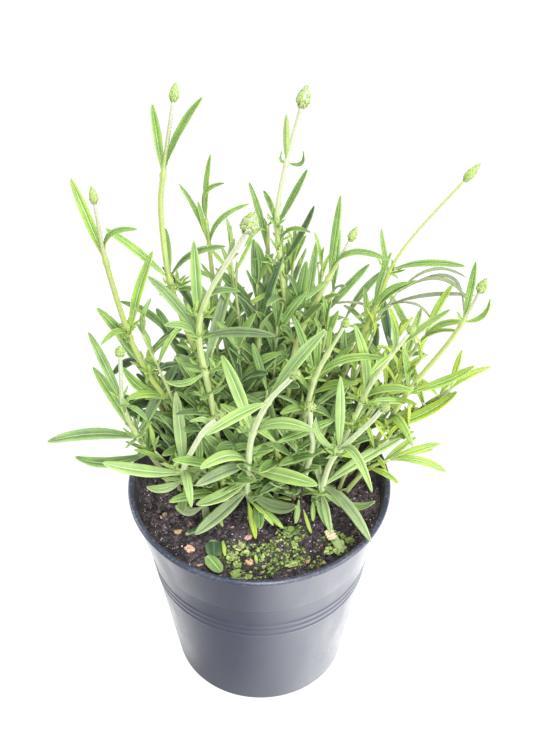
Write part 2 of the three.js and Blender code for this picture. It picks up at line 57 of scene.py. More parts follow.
goldenTurn = 2.39996  # radians from each shoot to the next, so that they spread evenly

cameraValues = {
    "place": (0.0, -0.492, 0.646),  # metres
    "downward": 42.7,  # degrees below the horizon
    "toTheRight": 0.9,
    "lens": 69.8,
}


def makeCamera(values):
    data = bpy.data.cameras.new("camera")
    data.lens, data.sensor_width = values["lens"], 36
    camera = bpy.data.objects.new("camera", data)
    bpy.context.scene.collection.objects.link(camera)
    down, right = math.radians(values["downward"]), math.radians(values["toTheRight"])
    ahead = Vector((math.sin(right) * math.cos(down), math.cos(right) * math.cos(down), -math.sin(down)))
    camera.location = values["place"]
    camera.rotation_euler = ahead.to_track_quat("-Z", "Y").to_euler()
    bpy.context.scene.camera = camera


makeCamera(cameraValues)
print("camera set")


# A seeded draw between -1 and 1, the same for the same number.
def draw(seed):
    wave = np.sin(np.asarray(seed, float) * 12.9898 + 4.1414) * 43758.5453
    return 2 * (wave - np.floor(wave)) - 1


def drawOne(seed):
    return float(draw(seed))


# Lattice noise from -1 to 1: a draw at each corner of a square grid, blended by smooth steps.
def lumps(x, y, size, seed):
    gridX, gridY = x / size, y / size
    ix, iy = np.floor(gridX), np.floor(gridY)
    sx, sy = gridX - ix, gridY - iy
    sx, sy = sx * sx * (3 - 2 * sx), sy * sy * (3 - 2 * sy)
    corner = lambda dx, dy: draw((ix + dx) * 127.1 + (iy + dy) * 311.7 + seed * 74.7)
    low = corner(0, 0) * (1 - sx) + corner(1, 0) * sx
    high = corner(0, 1) * (1 - sx) + corner(1, 1) * sx
    return low * (1 - sy) + high * sy


# Vectors of the same direction, 1 long.
def unit(vectors):
    vectors = np.asarray(vectors, float)
    return vectors / np.maximum(np.linalg.norm(vectors, axis=-1, keepdims=True), 1e-9)


# How far along a line each of its points is.
def reachAlong(points):
    return np.concatenate([[0], np.cumsum(np.linalg.norm(np.diff(points, axis=0), axis=1))])


# The number of the point nearest to a place.
def nearest(points, place):
    return np.argmin(np.linalg.norm(points - place, axis=1))


# Rings round a middle line: centre + side * radius * cos(angle) + front * radius * sin(angle).
def ringsRound(centres, side, front, radius, angles):
    return (centres[:, None] + side * (radius * np.cos(angles))[..., None]
            + front * (radius * np.sin(angles))[..., None])


# A bag collects closed skins, with four painted numbers for each point, until they become one piece.
def newBag():
    return {"points": [], "paint": [], "quads": [], "triangles": [], "quadSlots": [], "triangleSlots": [],
            "count": 0}


# Corner numbers of a closed skin: four-sided faces between neighbouring rings, then a fan from each
# end ring to its pole. Point i of ring k has number k * around + i, and the poles come last.
def skinFaces(count, around):
    k, one = np.meshgrid(np.arange(count - 1), np.arange(around), indexing="ij")
    two = (one + 1) % around
    below, above = k * around, (k + 1) * around
    quads = np.stack([below + one, below + two, above + two, above + one], -1)
    one = np.arange(around)
    two = (one + 1) % around
    end = (count - 1) * around
    first, last = np.full(around, count * around), np.full(around, count * around + 1)
    fans = np.concatenate([np.stack([first, two, one], -1), np.stack([end + one, end + two, last], -1)])
    return quads.reshape(-1, 4), fans


# Closed skin: rings[k, i] is point i of ring k, anticlockwise round the way ahead.
def addSkin(bag, rings, paint, poles=None, slot=0):
    count, around = rings.shape[:2]
    if poles is None:
        poles = (rings[0].mean(0), rings[-1].mean(0))
    start = bag["count"]
    quads, fans = skinFaces(count, around)
    bag["points"].append(np.concatenate([rings.reshape(-1, 3), np.array(poles)]))
    bag["paint"].append(np.concatenate([paint.reshape(-1, 4), paint[0, :1], paint[-1, :1]]))
    bag["quads"].append(start + quads)
    bag["triangles"].append(start + fans)
    bag["quadSlots"].append(np.full(len(quads), slot))
    bag["triangleSlots"].append(np.full(len(fans), slot))
    bag["count"] += count * around + 2


# The bag as an object: points in millimetres become metres, the paint a colour attribute.
def makePiece(name, bag, materials, smooth=True):
    points = np.concatenate(bag["points"]) * mm
    faces = np.concatenate(bag["quads"]).tolist() if bag["quads"] else []
    faces += np.concatenate(bag["triangles"]).tolist() if bag["triangles"] else []
    mesh = bpy.data.meshes.new(name)
    mesh.from_pydata(points.tolist(), [], faces)
    slots = np.concatenate(bag["quadSlots"] + bag["triangleSlots"]).astype(np.int32)
    mesh.polygons.foreach_set("material_index", slots)
    mesh.polygons.foreach_set("use_smooth", np.full(len(faces), smooth))
    paint = mesh.attributes.new("paint", "FLOAT_COLOR", "POINT")
    paint.data.foreach_set("color", np.concatenate(bag["paint"]).astype(np.float32).ravel())
    for material in materials:
        mesh.materials.append(material)
    mesh.validate()
    mesh.update()
    piece = bpy.data.objects.new(name, mesh)
    bpy.context.scene.collection.objects.link(piece)
    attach(piece, "root")
    return piece


def newMaterial(name, roughness, **sockets):
    material = bpy.data.materials.new(name)
    material.use_nodes = True
    tree = material.node_tree
    shader = tree.nodes["Principled BSDF"]
    shader.inputs["Roughness"].default_value = roughness
    for socket, value in sockets.items():
        shader.inputs[socket.replace("_", " ")].default_value = value
    return material, tree, shader


def addNode(tree, kind, inputs=(), **settings):
    node = tree.nodes.new(kind)
    for key, value in settings.items():
        setattr(node, key, value)
    for socket, value in dict(inputs).items():
        if isinstance(value, bpy.types.NodeSocket):
            tree.links.new(value, node.inputs[socket])
        else:
            node.inputs[socket].default_value = value
    return node


# Noise on Object coordinates, with features about size millimetres across.
def addNoise(tree, size, detail=3, rough=0.55, stretch=(1, 1, 1)):
    place = addNode(tree, "ShaderNodeTexCoord").outputs["Object"]
    if stretch != (1, 1, 1):
        place = addNode(tree, "ShaderNodeMapping", {"Vector": place, "Scale": stretch}).outputs[0]
    noise = addNode(tree, "ShaderNodeTexNoise", {"Vector": place, "Scale": 1000 / size, "Detail": detail,
                                                 "Roughness": rough})
    return noise.outputs["Fac"]


# A value moved from one range to another, kept inside it, by a smooth step.
def addRange(tree, value, fromLow, fromHigh, toLow=0.0, toHigh=1.0):
    node = addNode(tree, "ShaderNodeMapRange", {0: value, 1: fromLow, 2: fromHigh, 3: toLow, 4: toHigh})
    node.interpolation_type = "SMOOTHSTEP"
    return node.outputs[0]


def addMath(tree, operation, one, two=0.0):
    return addNode(tree, "ShaderNodeMath", {0: one, 1: two}, operation=operation).outputs[0]


def plus(tree, one, two):
    return addMath(tree, "ADD", one, two)


def times(tree, one, two):
    return addMath(tree, "MULTIPLY", one, two)


def addMix(tree, factor, one, two, blend="MIX"):
    node = addNode(tree, "ShaderNodeMix", data_type="RGBA", blend_type=blend)
    for socket, value in ((0, factor), (6, one), (7, two)):
        if isinstance(value, bpy.types.NodeSocket):
            tree.links.new(value, node.inputs[socket])
        else:
            node.inputs[socket].default_value = (*value, 1) if isinstance(value, tuple) else value
    return node.outputs[2]


def addRamp(tree, value, stops):
    ramp = addNode(tree, "ShaderNodeValToRGB", {0: value})
    elements = ramp.color_ramp.elements
    while len(elements) < len(stops):
        elements.new(0.5)
    for element, (place, colour) in zip(elements, stops):
        element.position, element.color = place, (*colour, 1)
    return ramp.outputs[0]


def addBump(tree, shader, height, strength, distance):
    bump = addNode(tree, "ShaderNodeBump", {"Height": height, "Strength": strength,
                                            "Distance": distance * mm})
    tree.links.new(bump.outputs[0], shader.inputs["Normal"])


# The shader's colour, and its relief from a height.
def coat(tree, shader, colour, height, strength, distance):
    tree.links.new(colour, shader.inputs["Base Color"])
    addBump(tree, shader, height, strength, distance)


# The painted numbers: red, green, blue, alpha.
def addPaint(tree):
    node = addNode(tree, "ShaderNodeAttribute", attribute_name="paint", attribute_type="GEOMETRY")
    split = addNode(tree, "ShaderNodeSeparateColor", {0: node.outputs["Color"]})
    return split.outputs[0], split.outputs[1], split.outputs[2], node.outputs["Alpha"]


# Paint on a blade: red along it, green from midrib to edge, blue its tone, alpha 0 below and above
# from 0.6, plain, to 1, felted.
leafLook = {
    "dark": (0.018, 0.05, 0.02),
    "grey": (0.105, 0.198, 0.052),
    "green": (0.19, 0.322, 0.062),
    "lime": (0.335, 0.44, 0.02),
    "vein": (0.48, 0.585, 0.27),
    "felt": (0.53, 0.61, 0.34),
    "under": (0.33, 0.43, 0.14),
    # painted shade in the groove beside the midrib and painted light towards the rolled edge
    "paintedShadeBand": (-0.18, 0.08),  # how much darker beside the midrib, how much lighter at the edge
}


# Tone, blotches and a band of painted shade beside the midrib, with painted light towards the edge,
# pick a colour, then come the pale foot, midrib and rim, the underside, and the felt's hairs.
def makeLeafMaterial(look, name="leaf"):
    material, tree, shader = newMaterial(name, 0.5, Sheen_Weight=0.03, Specular_IOR_Level=0.35,
                                         Subsurface_Weight=0.2, Subsurface_Scale=0.0012,
                                         Subsurface_Radius=(0.5, 1.0, 0.2))
    along, edge, tone, side = addPaint(tree)
    above = addMath(tree, "GREATER_THAN", side, 0.3)
    blotch = addNoise(tree, 7)
    shade = plus(tree, tone, addRange(tree, blotch, 0.25, 0.75, -0.1, 0.1))
    # painted shade beside the midrib, painted light towards the edge, as the curved blade would be lit
    shade = plus(tree, shade, addRange(tree, edge, 0.25, 0.8, *look["paintedShadeBand"]))
    colour = addRamp(tree, shade, [(0.0, look["dark"]), (0.32, look["grey"]), (0.66, look["green"]),
                                   (1.0, look["lime"])])
    colour = addMix(tree, addRange(tree, along, 0.2, 0.0, 0.0, 0.5), colour, look["vein"])
    bright = addRange(tree, tone, 0.0, 0.7, 0.12, 0.85)
    vein = times(tree, addRange(tree, edge, 0.12, 0.01), above)
    colour = addMix(tree, times(tree, vein, bright), colour, look["vein"])
    rim = addRange(tree, edge, 0.78, 1.0)
    colour = addMix(tree, times(tree, rim, bright), colour, look["felt"])
    lower = addMath(tree, "SUBTRACT", 1.0, above)
    colour = addMix(tree, times(tree, lower, 0.75), colour, look["under"])
    hairs = addNoise(tree, 0.7, 3, 0.7)
    colour = addMix(tree, addRange(tree, side, 0.6, 1.0, 0.0, 0.5), colour, look["felt"])
    colour = addMix(tree, addRange(tree, hairs, 0.42, 0.7, 0.0, 0.07), colour, look["felt"])
    height = plus(tree, addNoise(tree, 1.1, 3), times(tree, hairs, 0.35))
    coat(tree, shader, colour, height, 0.22, 0.5)
    return material


driedLook = {
    "dark": (0.1, 0.1, 0.07),
    "grey": (0.16, 0.19, 0.1),
    "green": (0.2, 0.24, 0.11),
    "lime": (0.26, 0.31, 0.13),
    "vein": (0.3, 0.34, 0.2),
    "felt": (0.13, 0.1, 0.1),
    "under": (0.26, 0.27, 0.19),
    "paintedShadeBand": (0, 0),
}


# Paint on a stem: red along it, green 1 on its corners, blue its felt, alpha 1 on a bare flower stalk.
stemLook = {
    "low": (0.4, 0.49, 0.14),
    "green": (0.34, 0.42, 0.07),
    # the tip's colour, darker than the foot's: painted shade on the upper stems
    "pale": (0.24, 0.305, 0.045),
    "stalk": (0.42, 0.4, 0.37),
    "felt": (0.69, 0.79, 0.53),
}


def makeStemMaterial(look):
    material, tree, shader = newMaterial("stem", 0.55, Sheen_Weight=0.15, Sheen_Roughness=0.6,
                                         Subsurface_Weight=0.15, Subsurface_Scale=0.001)
    along, corner, tone, bare = addPaint(tree)
    # lighter at the foot, darker towards the tip: painted light low down, painted shade where the lamps
    # light the upper stems more
    colour = addRamp(tree, along, [(0.0, look["low"]), (0.35, look["green"]), (1.0, look["pale"])])
    colour = addMix(tree, bare, colour, look["stalk"])
    colour = addMix(tree, times(tree, tone, 0.5), colour, look["felt"])
    streaks = addNoise(tree, 0.9, 3, 0.6, (1, 1, 0.2))
    pale = addRange(tree, streaks, 0.42, 0.66, 0.0, 0.5)
    pale = plus(tree, addRange(tree, corner, 0.4, 1.0, 0.0, 0.5), pale)
    colour = addMix(tree, times(tree, pale, tone), colour, look["felt"])
    coat(tree, shader, colour, addNoise(tree, 0.4, 2), 0.4, 0.2)
    return material


# Paint on a bract: red along it, green from middle to edge, blue its tone.
budLook = {
    "green": (0.25, 0.36, 0.075),
    "tip": (0.33, 0.44, 0.12),
    "edge": (0.42, 0.52, 0.2),
    "lilac": (0.4, 0.37, 0.42),
}


def makeBudMaterial(look):
    material, tree, shader = newMaterial("bud", 0.55, Sheen_Weight=0.15, Sheen_Roughness=0.6,
                                         Subsurface_Weight=0.2, Subsurface_Scale=0.001)
    along, edge, tone, _ = addPaint(tree)
    colour = addMix(tree, addRange(tree, along, 0.1, 0.9), look["green"], look["tip"])
    lilac = times(tree, tone, addRange(tree, addNoise(tree, 2.5, 2), 0.45, 0.62))
    colour = addMix(tree, lilac, colour, look["lilac"])
    colour = addMix(tree, addRange(tree, edge, 0.55, 1.0, 0.0, 0.6), colour, look["edge"])
    coat(tree, shader, colour, addNoise(tree, 0.5, 2), 0.3, 0.15)
    return material


leafMaterial = makeLeafMaterial(leafLook)
driedMaterial = makeLeafMaterial(driedLook, "driedLeaf")
stemMaterial = makeStemMaterial(stemLook)
budMaterial = makeBudMaterial(budLook)
print("plant materials ready")

# The pot. Lines are pairs of radius and height.
potValues = {
    "foot": [(0, 0), (9, 0), (10, 2), (38, 2), (39, 0), (44.6, 0)],
    "wall": (44.6, 57.1, 89.6),  # radius at the foot and under the collar, and the collar's height
    "collar": [(57.1, 89.2), (57.9, 90), (63.5, 116.6), (65, 117.6), (65, 119.2), (64.2, 120)],
    "lip": (62.6, 119.8),
    "inside": [(62.1, 119.2), (56.5, 89.6), (43.2, 5.4), (41.2, 3.4), (0.4, 3.4)],
    "ridges": [66.4, 71, 75.6],
    "ridgeProud": 0.5,
    "ridgeHalf": 1.1,
    "ridgeFoot": 0.1,  # its edges stand this far inside and outside the wall's line
    "rounding": (0.9, 0.8),  # of the corners outside and inside
    "segments": 216,
    "colour": (0.028, 0.034, 0.06),
    "innerColour": (0.045, 0.048, 0.06),
    "scuff": (0.36, 0.36, 0.38),
    "dust": (0.2, 0.17, 0.15),
    "roughness": 0.3,
    "drains": (6, 24, 3.5),  # how many, on what radius, how wide
}


# Each corner of the line becomes a short arc: a quadratic curve between points set back from it.
def roundedLine(corners, reach, steps=5):
    corners = np.array(corners, float)
    line = [corners[:1]]
    t = np.linspace(0, 1, steps)[:, None]
    for before, corner, after in zip(corners[:-2], corners[1:-1], corners[2:]):
        back = min(reach, np.linalg.norm(corner - before) * 0.45, np.linalg.norm(after - corner) * 0.45)
        start = corner + unit(before - corner) * back
        stop = corner + unit(after - corner) * back
        line.append(start * (1 - t) ** 2 + corner * 2 * t * (1 - t) + stop * t ** 2)
    return np.concatenate(line + [corners[-1:]])


# A line of radius and height turned round the upright axis: rings[k, i] = (r cos, r sin, z).
def turned(line, segments):
    around = np.arange(segments) / segments * 2 * math.pi
    return np.stack([line[:, :1] * np.cos(around), line[:, :1] * np.sin(around),
                     np.repeat(line[:, 1:], segments, 1)], -1)


# Satin plastic with faint smears, a scuffed lip, and dust streaks inside.
def makePotMaterial(values):
    material, tree, shader = newMaterial("potPlastic", values["roughness"])
    place = addNode(tree, "ShaderNodeTexCoord").outputs["Object"]
    height = addNode(tree, "ShaderNodeSeparateXYZ", {0: place}).outputs["Z"]
    inside = addPaint(tree)[0]
    smear = addNoise(tree, 24, 4, 0.6, (1, 1, 0.45))
    grain = addNoise(tree, 1.4, 4, 0.7)
    streak = addNoise(tree, 5, 4, 0.65, (1, 1, 0.12))
    colour = addMix(tree, addRange(tree, smear, 0.3, 0.7, 0.0, 0.05), values["colour"], values["scuff"])
    colour = addMix(tree, inside, colour, values["innerColour"])
    lip = times(tree, addRange(tree, height, 0.115, 0.1195), addRange(tree, grain, 0.5, 0.72))
    colour = addMix(tree, times(tree, lip, 0.3), colour, values["scuff"])
    dusty = times(tree, inside, addRange(tree, streak, 0.45, 0.75, 0.0, 0.75))
    colour = addMix(tree, dusty, colour, values["dust"])
    rough = addRange(tree, plus(tree, smear, times(tree, grain, 0.4)), 0.45, 0.95,
                     values["roughness"] - 0.05, values["roughness"] + 0.12)
    tree.links.new(rough, shader.inputs["Roughness"])
    coat(tree, shader, colour, addNoise(tree, 0.5, 3), 0.12, 0.1)
    return material


# The pot's wall is one turned line. Paint: red 1 on the inner wall.
def makePot(values):
    corners = list(values["foot"])
    low, high, top = values["wall"]
    for z in values["ridges"]:
        r = low + (high - low) * z / top
        foot, half = values["ridgeFoot"], values["ridgeHalf"]
        corners += [(r - foot, z - half), (r + values["ridgeProud"], z), (r + foot, z + half)]
    outside = roundedLine(corners + values["collar"] + [values["lip"]], values["rounding"][0])
    inner = roundedLine([values["lip"]] + values["inside"], values["rounding"][1])
    line = np.concatenate([outside[1:], inner[1:]])
    rings = turned(line, values["segments"])
    paint = np.zeros((*rings.shape[:2], 4))
    paint[len(outside) - 1:, :, 0] = 1
    bag = newBag()
    addSkin(bag, rings, paint, ((0, 0, 0), (0, 0, values["inside"][-1][1])))
    pot = makePiece("pot_shell", bag, [makePotMaterial(values)])
    count, circle, radius = values["drains"]
    cutters = newBag()
    for k in range(count):
        turn = k / count * 2 * math.pi
        drill = turned(np.array([(radius, -2.0), (radius, 6.0)]), 32)  # right through the floor
        drill += (circle * math.cos(turn), circle * math.sin(turn), 0)
        addSkin(cutters, drill, np.zeros((*drill.shape[:2], 4)))
    cutter = makePiece("drainCutter", cutters, [])
    drains = pot.modifiers.new("drains", "BOOLEAN")
    drains.operation, drains.solver, drains.object = "DIFFERENCE", "EXACT", cutter
    depsgraph = bpy.context.evaluated_depsgraph_get()
    cut = bpy.data.meshes.new_from_object(pot.evaluated_get(depsgraph), depsgraph=depsgraph)
    pot.modifiers.clear()
    pot.data = cut
    bpy.data.objects.remove(cutter)
    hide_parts("pot")


makePot(potValues)
print("pot made")

soilValues = {
    "rings": 112,
    "segments": 400,
    "level": 110,
    "edgeLevel": 109.0,
    "below": [(41, 3.6), (42.9, 5.8), (56.2, 89.6)],  # radius and height under the collar
    "play": (0.15, 0.1),  # between it and the wall, 5 mm down and at its edge
    "relief": 2.4,
    "crumbly": ((7, 1.1), (3.1, 0.9), (1.5, 0.7), (0.8, 0.45)),  # size and height of each layer of lumps
    "dark": (0.007, 0.0055, 0.0065),
    "brown": (0.14, 0.106, 0.115),
    "speck": (0.36, 0.29, 0.3),
}


# The collar's inner radius at a height.
def collarInside(z):
    (upperRadius, upper), (lowerRadius, lower) = potValues["inside"][:2]
    return lowerRadius + (upperRadius - lowerRadius) * (z - lower) / (upper - lower)


# Height of the compost: three crossed waves under its highest level, with finer lumps on them.
def soilHeight(x, y, values=soilValues):
    waves = (np.sin(x * 0.19 + 1.3) * np.cos(y * 0.23 - 0.4) + 0.6 * np.sin(x * 0.41 - y * 0.37)
             + 0.4 * np.cos(x * 0.09 + y * 0.47))
    height = values["level"] - values["relief"] * (0.5 + 0.25 * waves)
    for k, (size, rise) in enumerate(values["crumbly"]):
        height += rise * lumps(x, y, size, 3 + k)
    return height


# Dark and brown grains in patches, with pale specks.
def makeSoilMaterial(values):
    material, tree, shader = newMaterial("compost", 0.92)
    grain = addNoise(tree, 1.6, 6, 0.7)
    patch = addNoise(tree, 14, 3)
    speck = addNoise(tree, 0.7, 2, 0.7)
    colour = addMix(tree, addRange(tree, grain, 0.35, 0.68), values["dark"], values["brown"])
    colour = addMix(tree, addRange(tree, patch, 0.45, 0.68, 0.0, 0.85), colour, values["dark"])
    colour = addMix(tree, addRange(tree, speck, 0.64, 0.7), colour, values["speck"])
    coat(tree, shader, colour, plus(tree, grain, speck), 1.0, 0.8)
    return material


# Closed mound: the base and wall are turned, the top is a polar grid raised to soilHeight.
def makeSoil(values):
    level = values["edgeLevel"]
    down, beside = values["play"]
    low = np.array(values["below"] + [(collarInside(level - 5) - down, level - 5)])
    edge = collarInside(level) - beside
    shares = 1 - np.linspace(0, 1, values["rings"] + 1)[:-1]
    rim = np.stack([edge * shares, np.full(len(shares), level)], -1)
    rings = turned(np.concatenate([low, rim]), values["segments"])
    top = rings[len(low):]
    top[..., 2] = soilHeight(top[..., 0], top[..., 1])
    fade = np.clip((edge - edge * shares) / 2.5, 0, 1)[:, None]
    top[..., 2] = top[..., 2] * fade + (level + 0.8 * lumps(top[..., 0], top[..., 1], 4, 9)) * (1 - fade)
    bag = newBag()
    centre = (0, 0, float(soilHeight(0.0, 0.0)))
    addSkin(bag, rings, np.zeros((*rings.shape[:2], 4)), ((0, 0, values["below"][0][1]), centre))
    soil = makePiece("compost", bag, [makeSoilMaterial(values)])
    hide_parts("soil")


makeSoil(soilValues)

# Loose crumbs, bark and grit on the compost. Paint holds each one's colour.
crumbValues = {
    "count": 3200,
    "reach": 60.3,
    "wall": 62,  # the larger a crumb, the farther it stays from this radius
    "smallest": 0.28,
    "largest": 1.7,
    "colours": [(0.024, 0.018, 0.02), (0.05, 0.037, 0.04), (0.01, 0.008, 0.01), (0.11, 0.08, 0.08),
                (0.26, 0.17, 0.12), (0.62, 0.5, 0.5), (0.2, 0.08, 0.05)],
    "shares": [0.26, 0.2, 0.22, 0.12, 0.03, 0.15, 0.02],
    "grit": (5, 0.36),  # which colour is pale grit, and how fine that is
}


# The painted colour times a grain of the given size.
def makePaintedMaterial(name, roughness, size, strength):
    material, tree, shader = newMaterial(name, roughness)
    paint = addNode(tree, "ShaderNodeAttribute", attribute_name="paint", attribute_type="GEOMETRY")
    grain = addNoise(tree, size, 5, 0.65)
    shade = addRange(tree, grain, 0.3, 0.7, 0.45, 1.35)
    colour = addNode(tree, "ShaderNodeVectorMath", {0: paint.outputs["Color"], 1: shade},
                     operation="MULTIPLY")
    coat(tree, shader, colour.outputs[0], grain, strength, 0.5)
    return material


# Many closed lumps at once: one template of rings and poles, each copy stretched, dented and turned.
def addLumps(bag, places, sizes, turns, colours, seed, rings=3, around=6):
    k, i = np.meshgrid(np.arange(rings), np.arange(around), indexing="ij")
    polar = (k + 1) / (rings + 1) * math.pi
    azimuth = (i + 0.5 * (k % 2)) / around * 2 * math.pi
    ball = np.stack([np.sin(polar) * np.cos(azimuth), np.sin(polar) * np.sin(azimuth), -np.cos(polar)], -1)
    ball = np.concatenate([ball.reshape(-1, 3), [(0, 0, -1), (0, 0, 1)]])
    count = len(places)
    number = np.arange(count)[:, None] * 41.7 + np.arange(len(ball)) * 3.3 + seed
    shape = ball[None] * (1 + 0.32 * draw(number))[..., None] * sizes[:, None]
    cos, sin = np.cos(turns)[:, None], np.sin(turns)[:, None]
    points = np.stack([shape[..., 0] * cos - shape[..., 1] * sin,
                       shape[..., 0] * sin + shape[..., 1] * cos, shape[..., 2]], -1) + places[:, None]
    quads, fans = skinFaces(rings, around)
    starts = bag["count"] + np.arange(count)[:, None, None] * len(ball)
    bag["points"].append(points.reshape(-1, 3))
    bag["paint"].append(np.repeat(np.concatenate([colours, np.ones((count, 1))], 1), len(ball), 0))
    bag["quads"].append((starts + quads[None]).reshape(-1, 4))
    bag["triangles"].append((starts + fans[None]).reshape(-1, 3))
    bag["quadSlots"].append(np.zeros(count * len(quads), int))
    bag["triangleSlots"].append(np.zeros(count * len(fans), int))
    bag["count"] += count * len(ball)


# Places spread evenly over the disc, and far more small crumbs than large ones.
def makeCrumbs(values):
    number = np.arange(values["count"]) + 0.5
    radius = values["reach"] * np.sqrt((draw(number * 1.7) + 1) / 2)
    turn = draw(number * 2.3) * math.pi
    x, y = radius * np.cos(turn), radius * np.sin(turn)
    size = (draw(number * 3.1) + 1) / 2
    size = values["smallest"] + (values["largest"] - values["smallest"]) * size ** 4
    x, y = x * (1 - size / values["wall"]), y * (1 - size / values["wall"])
    sizes = size[:, None] * np.stack([1 + 0.5 * draw(number * 4.1), 0.8 + 0.25 * draw(number * 5.3),
                                      0.6 + 0.2 * draw(number * 6.7)], -1)
    places = np.stack([x, y, soilHeight(x, y) + 0.25 * size], -1)
    pick = np.searchsorted(np.cumsum(values["shares"]), (draw(number * 7.9) + 1) / 2 * 0.999)
    grit, fineness = values["grit"]
    sizes *= np.where(pick == grit, fineness / size, 1)[:, None]
    colours = np.array(values["colours"])[pick] * (1 + 0.25 * draw(number * 8.3))[:, None]
    bag = newBag()
    addLumps(bag, places, sizes, draw(number * 9.7) * math.pi, colours, 11)
    crumbs = makePiece("crumbs", bag, [makePaintedMaterial("crumb", 0.9, 1.2, 0.8)], smooth=False)


makeCrumbs(crumbValues)
print("compost made")

# Liverwort, moss and litter on the compost, and what lies on the rim. Places are x and y.
litterValues = {
    "liverwort": [  # place, size of the rosette, how light
        (-10, -33.5, 5.0, 0.8), (-12.6, -36.9, 4.4, 0.55), (-14.2, -39.7, 4.4, 0.7), (-7.7, -38.3, 5, 0.75),
        (-11.1, -39, 3.6, 0.9), (-7.3, -31.6, 3.4, 1.0), (-11.1, -44.5, 5, 0.7), (-10.7, -51.3, 7, 0.6),
        (-5.7, -52.7, 4, 0.6), (-1.5, -36.1, 3, 0.95), (6.9, -33.3, 3.2, 0.6), (15.5, -24.3, 7.5, 0.25),
        (17.9, -29.5, 4, 0.45), (16.4, -32.4, 4, 0.7), (17.1, -35.1, 3.6, 0.7), (13.9, -42.8, 4.6, 0.65),
        (15, -45.6, 5.2, 0.75), (17.5, -43.5, 3.6, 0.5), (33.3, -37.5, 5.4, 0.85), (38.8, -34.8, 6.6, 0.8),
        (36.9, -38, 4.2, 0.85), (40.3, -27.1, 4, 0.5), (43.8, -30.5, 5.2, 0.55), (37, -26, 4.4, 0.3)],
    "moss": [  # place, half sizes, how many grains
        (7, -38.7, 15, 9.5, 760), (-12, -38, 8, 9, 220), (36, -33, 9, 7, 220), (15.6, -25, 8, 5, 140),
        (-2, -49, 9, 4, 120), (24, -43, 10, 4, 120)],
    "green": [(0.03, 0.048, 0.014), (0.08, 0.12, 0.025), (0.035, 0.06, 0.018), (0.16, 0.22, 0.05),
              (0.21, 0.28, 0.06), (0.32, 0.4, 0.14)],
    "bark": [(-47, -12, 2.4), (-34, -35, 2.2), (-5.4, -43.8, 3.2), (-9.5, -23.4, 3.6), (-51, 4, 1.8),
             (-5.7, -25.7, 1.8), (36.8, -29.7, 1.9), (22.7, -32.5, 3.2), (22.4, -41.5, 1.8),
             (30, -43.5, 1.5), (48, -20, 1.6), (27.4, -35.3, 2.4), (-40, -24, 1.9), (-29, -44, 1.6),
             (-44, -30, 1.2), (11, -29.5, 1.8)],
    "barkColours": [(0.42, 0.27, 0.15), (0.5, 0.33, 0.24), (0.52, 0.33, 0.19), (0.05, 0.037, 0.045)],
    "lobeReach": 59.5,
    "mossReach": 58,
    "rim": (63.2, 120.0),  # radius and height of the dirt on it
    "rimDirt": [(-61, -29), (-57, -38), (-48, -43), (-51, -41), (-60, -25), (62, 18), (63, 5), (-40, -51)],
}


# Rosettes of blunt lobes, patches of moss grains, bark flakes, and specks of compost on the rim.
def makeLitter(values):
    lobes, grains, bark = newBag(), newBag(), newBag()
    for number, (x, y, size, light) in enumerate(values["liverwort"]):
        middle = np.array([x, y, float(soilHeight(x, y)) + 0.4])
        count = 3 + int(size > 4.3) + int(size > 6)
        for k in range(count):
            seed = 900 + number * 37.1 + k * 1.7
            way = wayOf(k * 360 / count + 40 * drawOne(seed), 16 + 14 * drawOne(seed + 0.3))
            side = unit(np.cross(way, (0, 0, 1)))
            up = np.cross(side, way)
            length = size * (0.52 + 0.12 * drawOne(seed + 0.4))
            tip = middle + way * length
            if math.hypot(tip[0], tip[1]) > values["lobeReach"]:
                continue
            addBlade(lobes, middle - way * 0.3, (middle + tip) / 2 + up * 0.5, tip, side,
                     0.3 * drawOne(seed + 0.6), length * 0.6, light + 0.2 * drawOne(seed + 0.5),
                     stations=6, fine=False, cup=0.3, belly=0.4, shoulder=0.62, blunt=3.0, root=0.35,
                     thick=0.5, ripple=0.2, seed=seed)
    for row, (midX, midY, halfX, halfY, count) in enumerate(values["moss"]):
        number = np.arange(count) + row * 991
        turn = draw(number * 1.31 + 5) * math.pi
        away = np.sqrt((draw(number * 2.17 + 5) + 1) / 2)
        x, y = midX + halfX * away * np.cos(turn), midY + halfY * away * np.sin(turn)
        keep = (np.hypot(x, y) < values["mossReach"]) & (lumps(x, y, 3.2, 77) > -0.25)
        number, x, y = number[keep], x[keep], y[keep]
        size = 0.62 + 0.34 * draw(number * 3.3)
        shades = np.array(values["green"])[(number * 7) % len(values["green"])]
        addLumps(grains, np.stack([x, y, soilHeight(x, y) + 0.3 * size], -1),
                 size[:, None] * np.ones((1, 3)), turn[keep], shades, 21, rings=2, around=5)
    chips = np.array(values["bark"], float)
    order = np.arange(len(chips))
    places = np.stack([chips[:, 0], chips[:, 1], soilHeight(chips[:, 0], chips[:, 1]) + 0.5], -1)
    flat = chips[:, 2:] * np.array([[1, 0.7, 0.25]]) * (1 + 0.2 * draw(order)[:, None])
    tans = np.array(values["barkColours"])[order % len(values["barkColours"])]
    addLumps(bark, places, flat, draw(order + 0.4) * math.pi, tans, 31, rings=4, around=8)
    dirt = np.array(values["rimDirt"], float)
    order = np.arange(len(dirt))
    radius, height = values["rim"]
    dirt *= radius / np.hypot(dirt[:, 0], dirt[:, 1])[:, None]
    places = np.stack([dirt[:, 0], dirt[:, 1], np.full(len(dirt), height)], -1)
    dark = np.array([(0.03, 0.022, 0.02)]) * np.ones((len(dirt), 1))
    addLumps(bark, places, (0.55 + 0.25 * draw(order + 0.2))[:, None] * np.array([[1.4, 0.8, 0.5]]),
             draw(order + 0.6) * math.pi, dark, 41)
    liverwort = makePiece("liverwort", lobes, [liverwortMaterial])
    moss = makePiece("moss_grains", grains, [makePaintedMaterial("moss", 0.8, 0.7, 0.6)])
    litter = makePiece("bark_litter", bark, [makePaintedMaterial("bark", 0.85, 1.2, 0.8)], smooth=False)


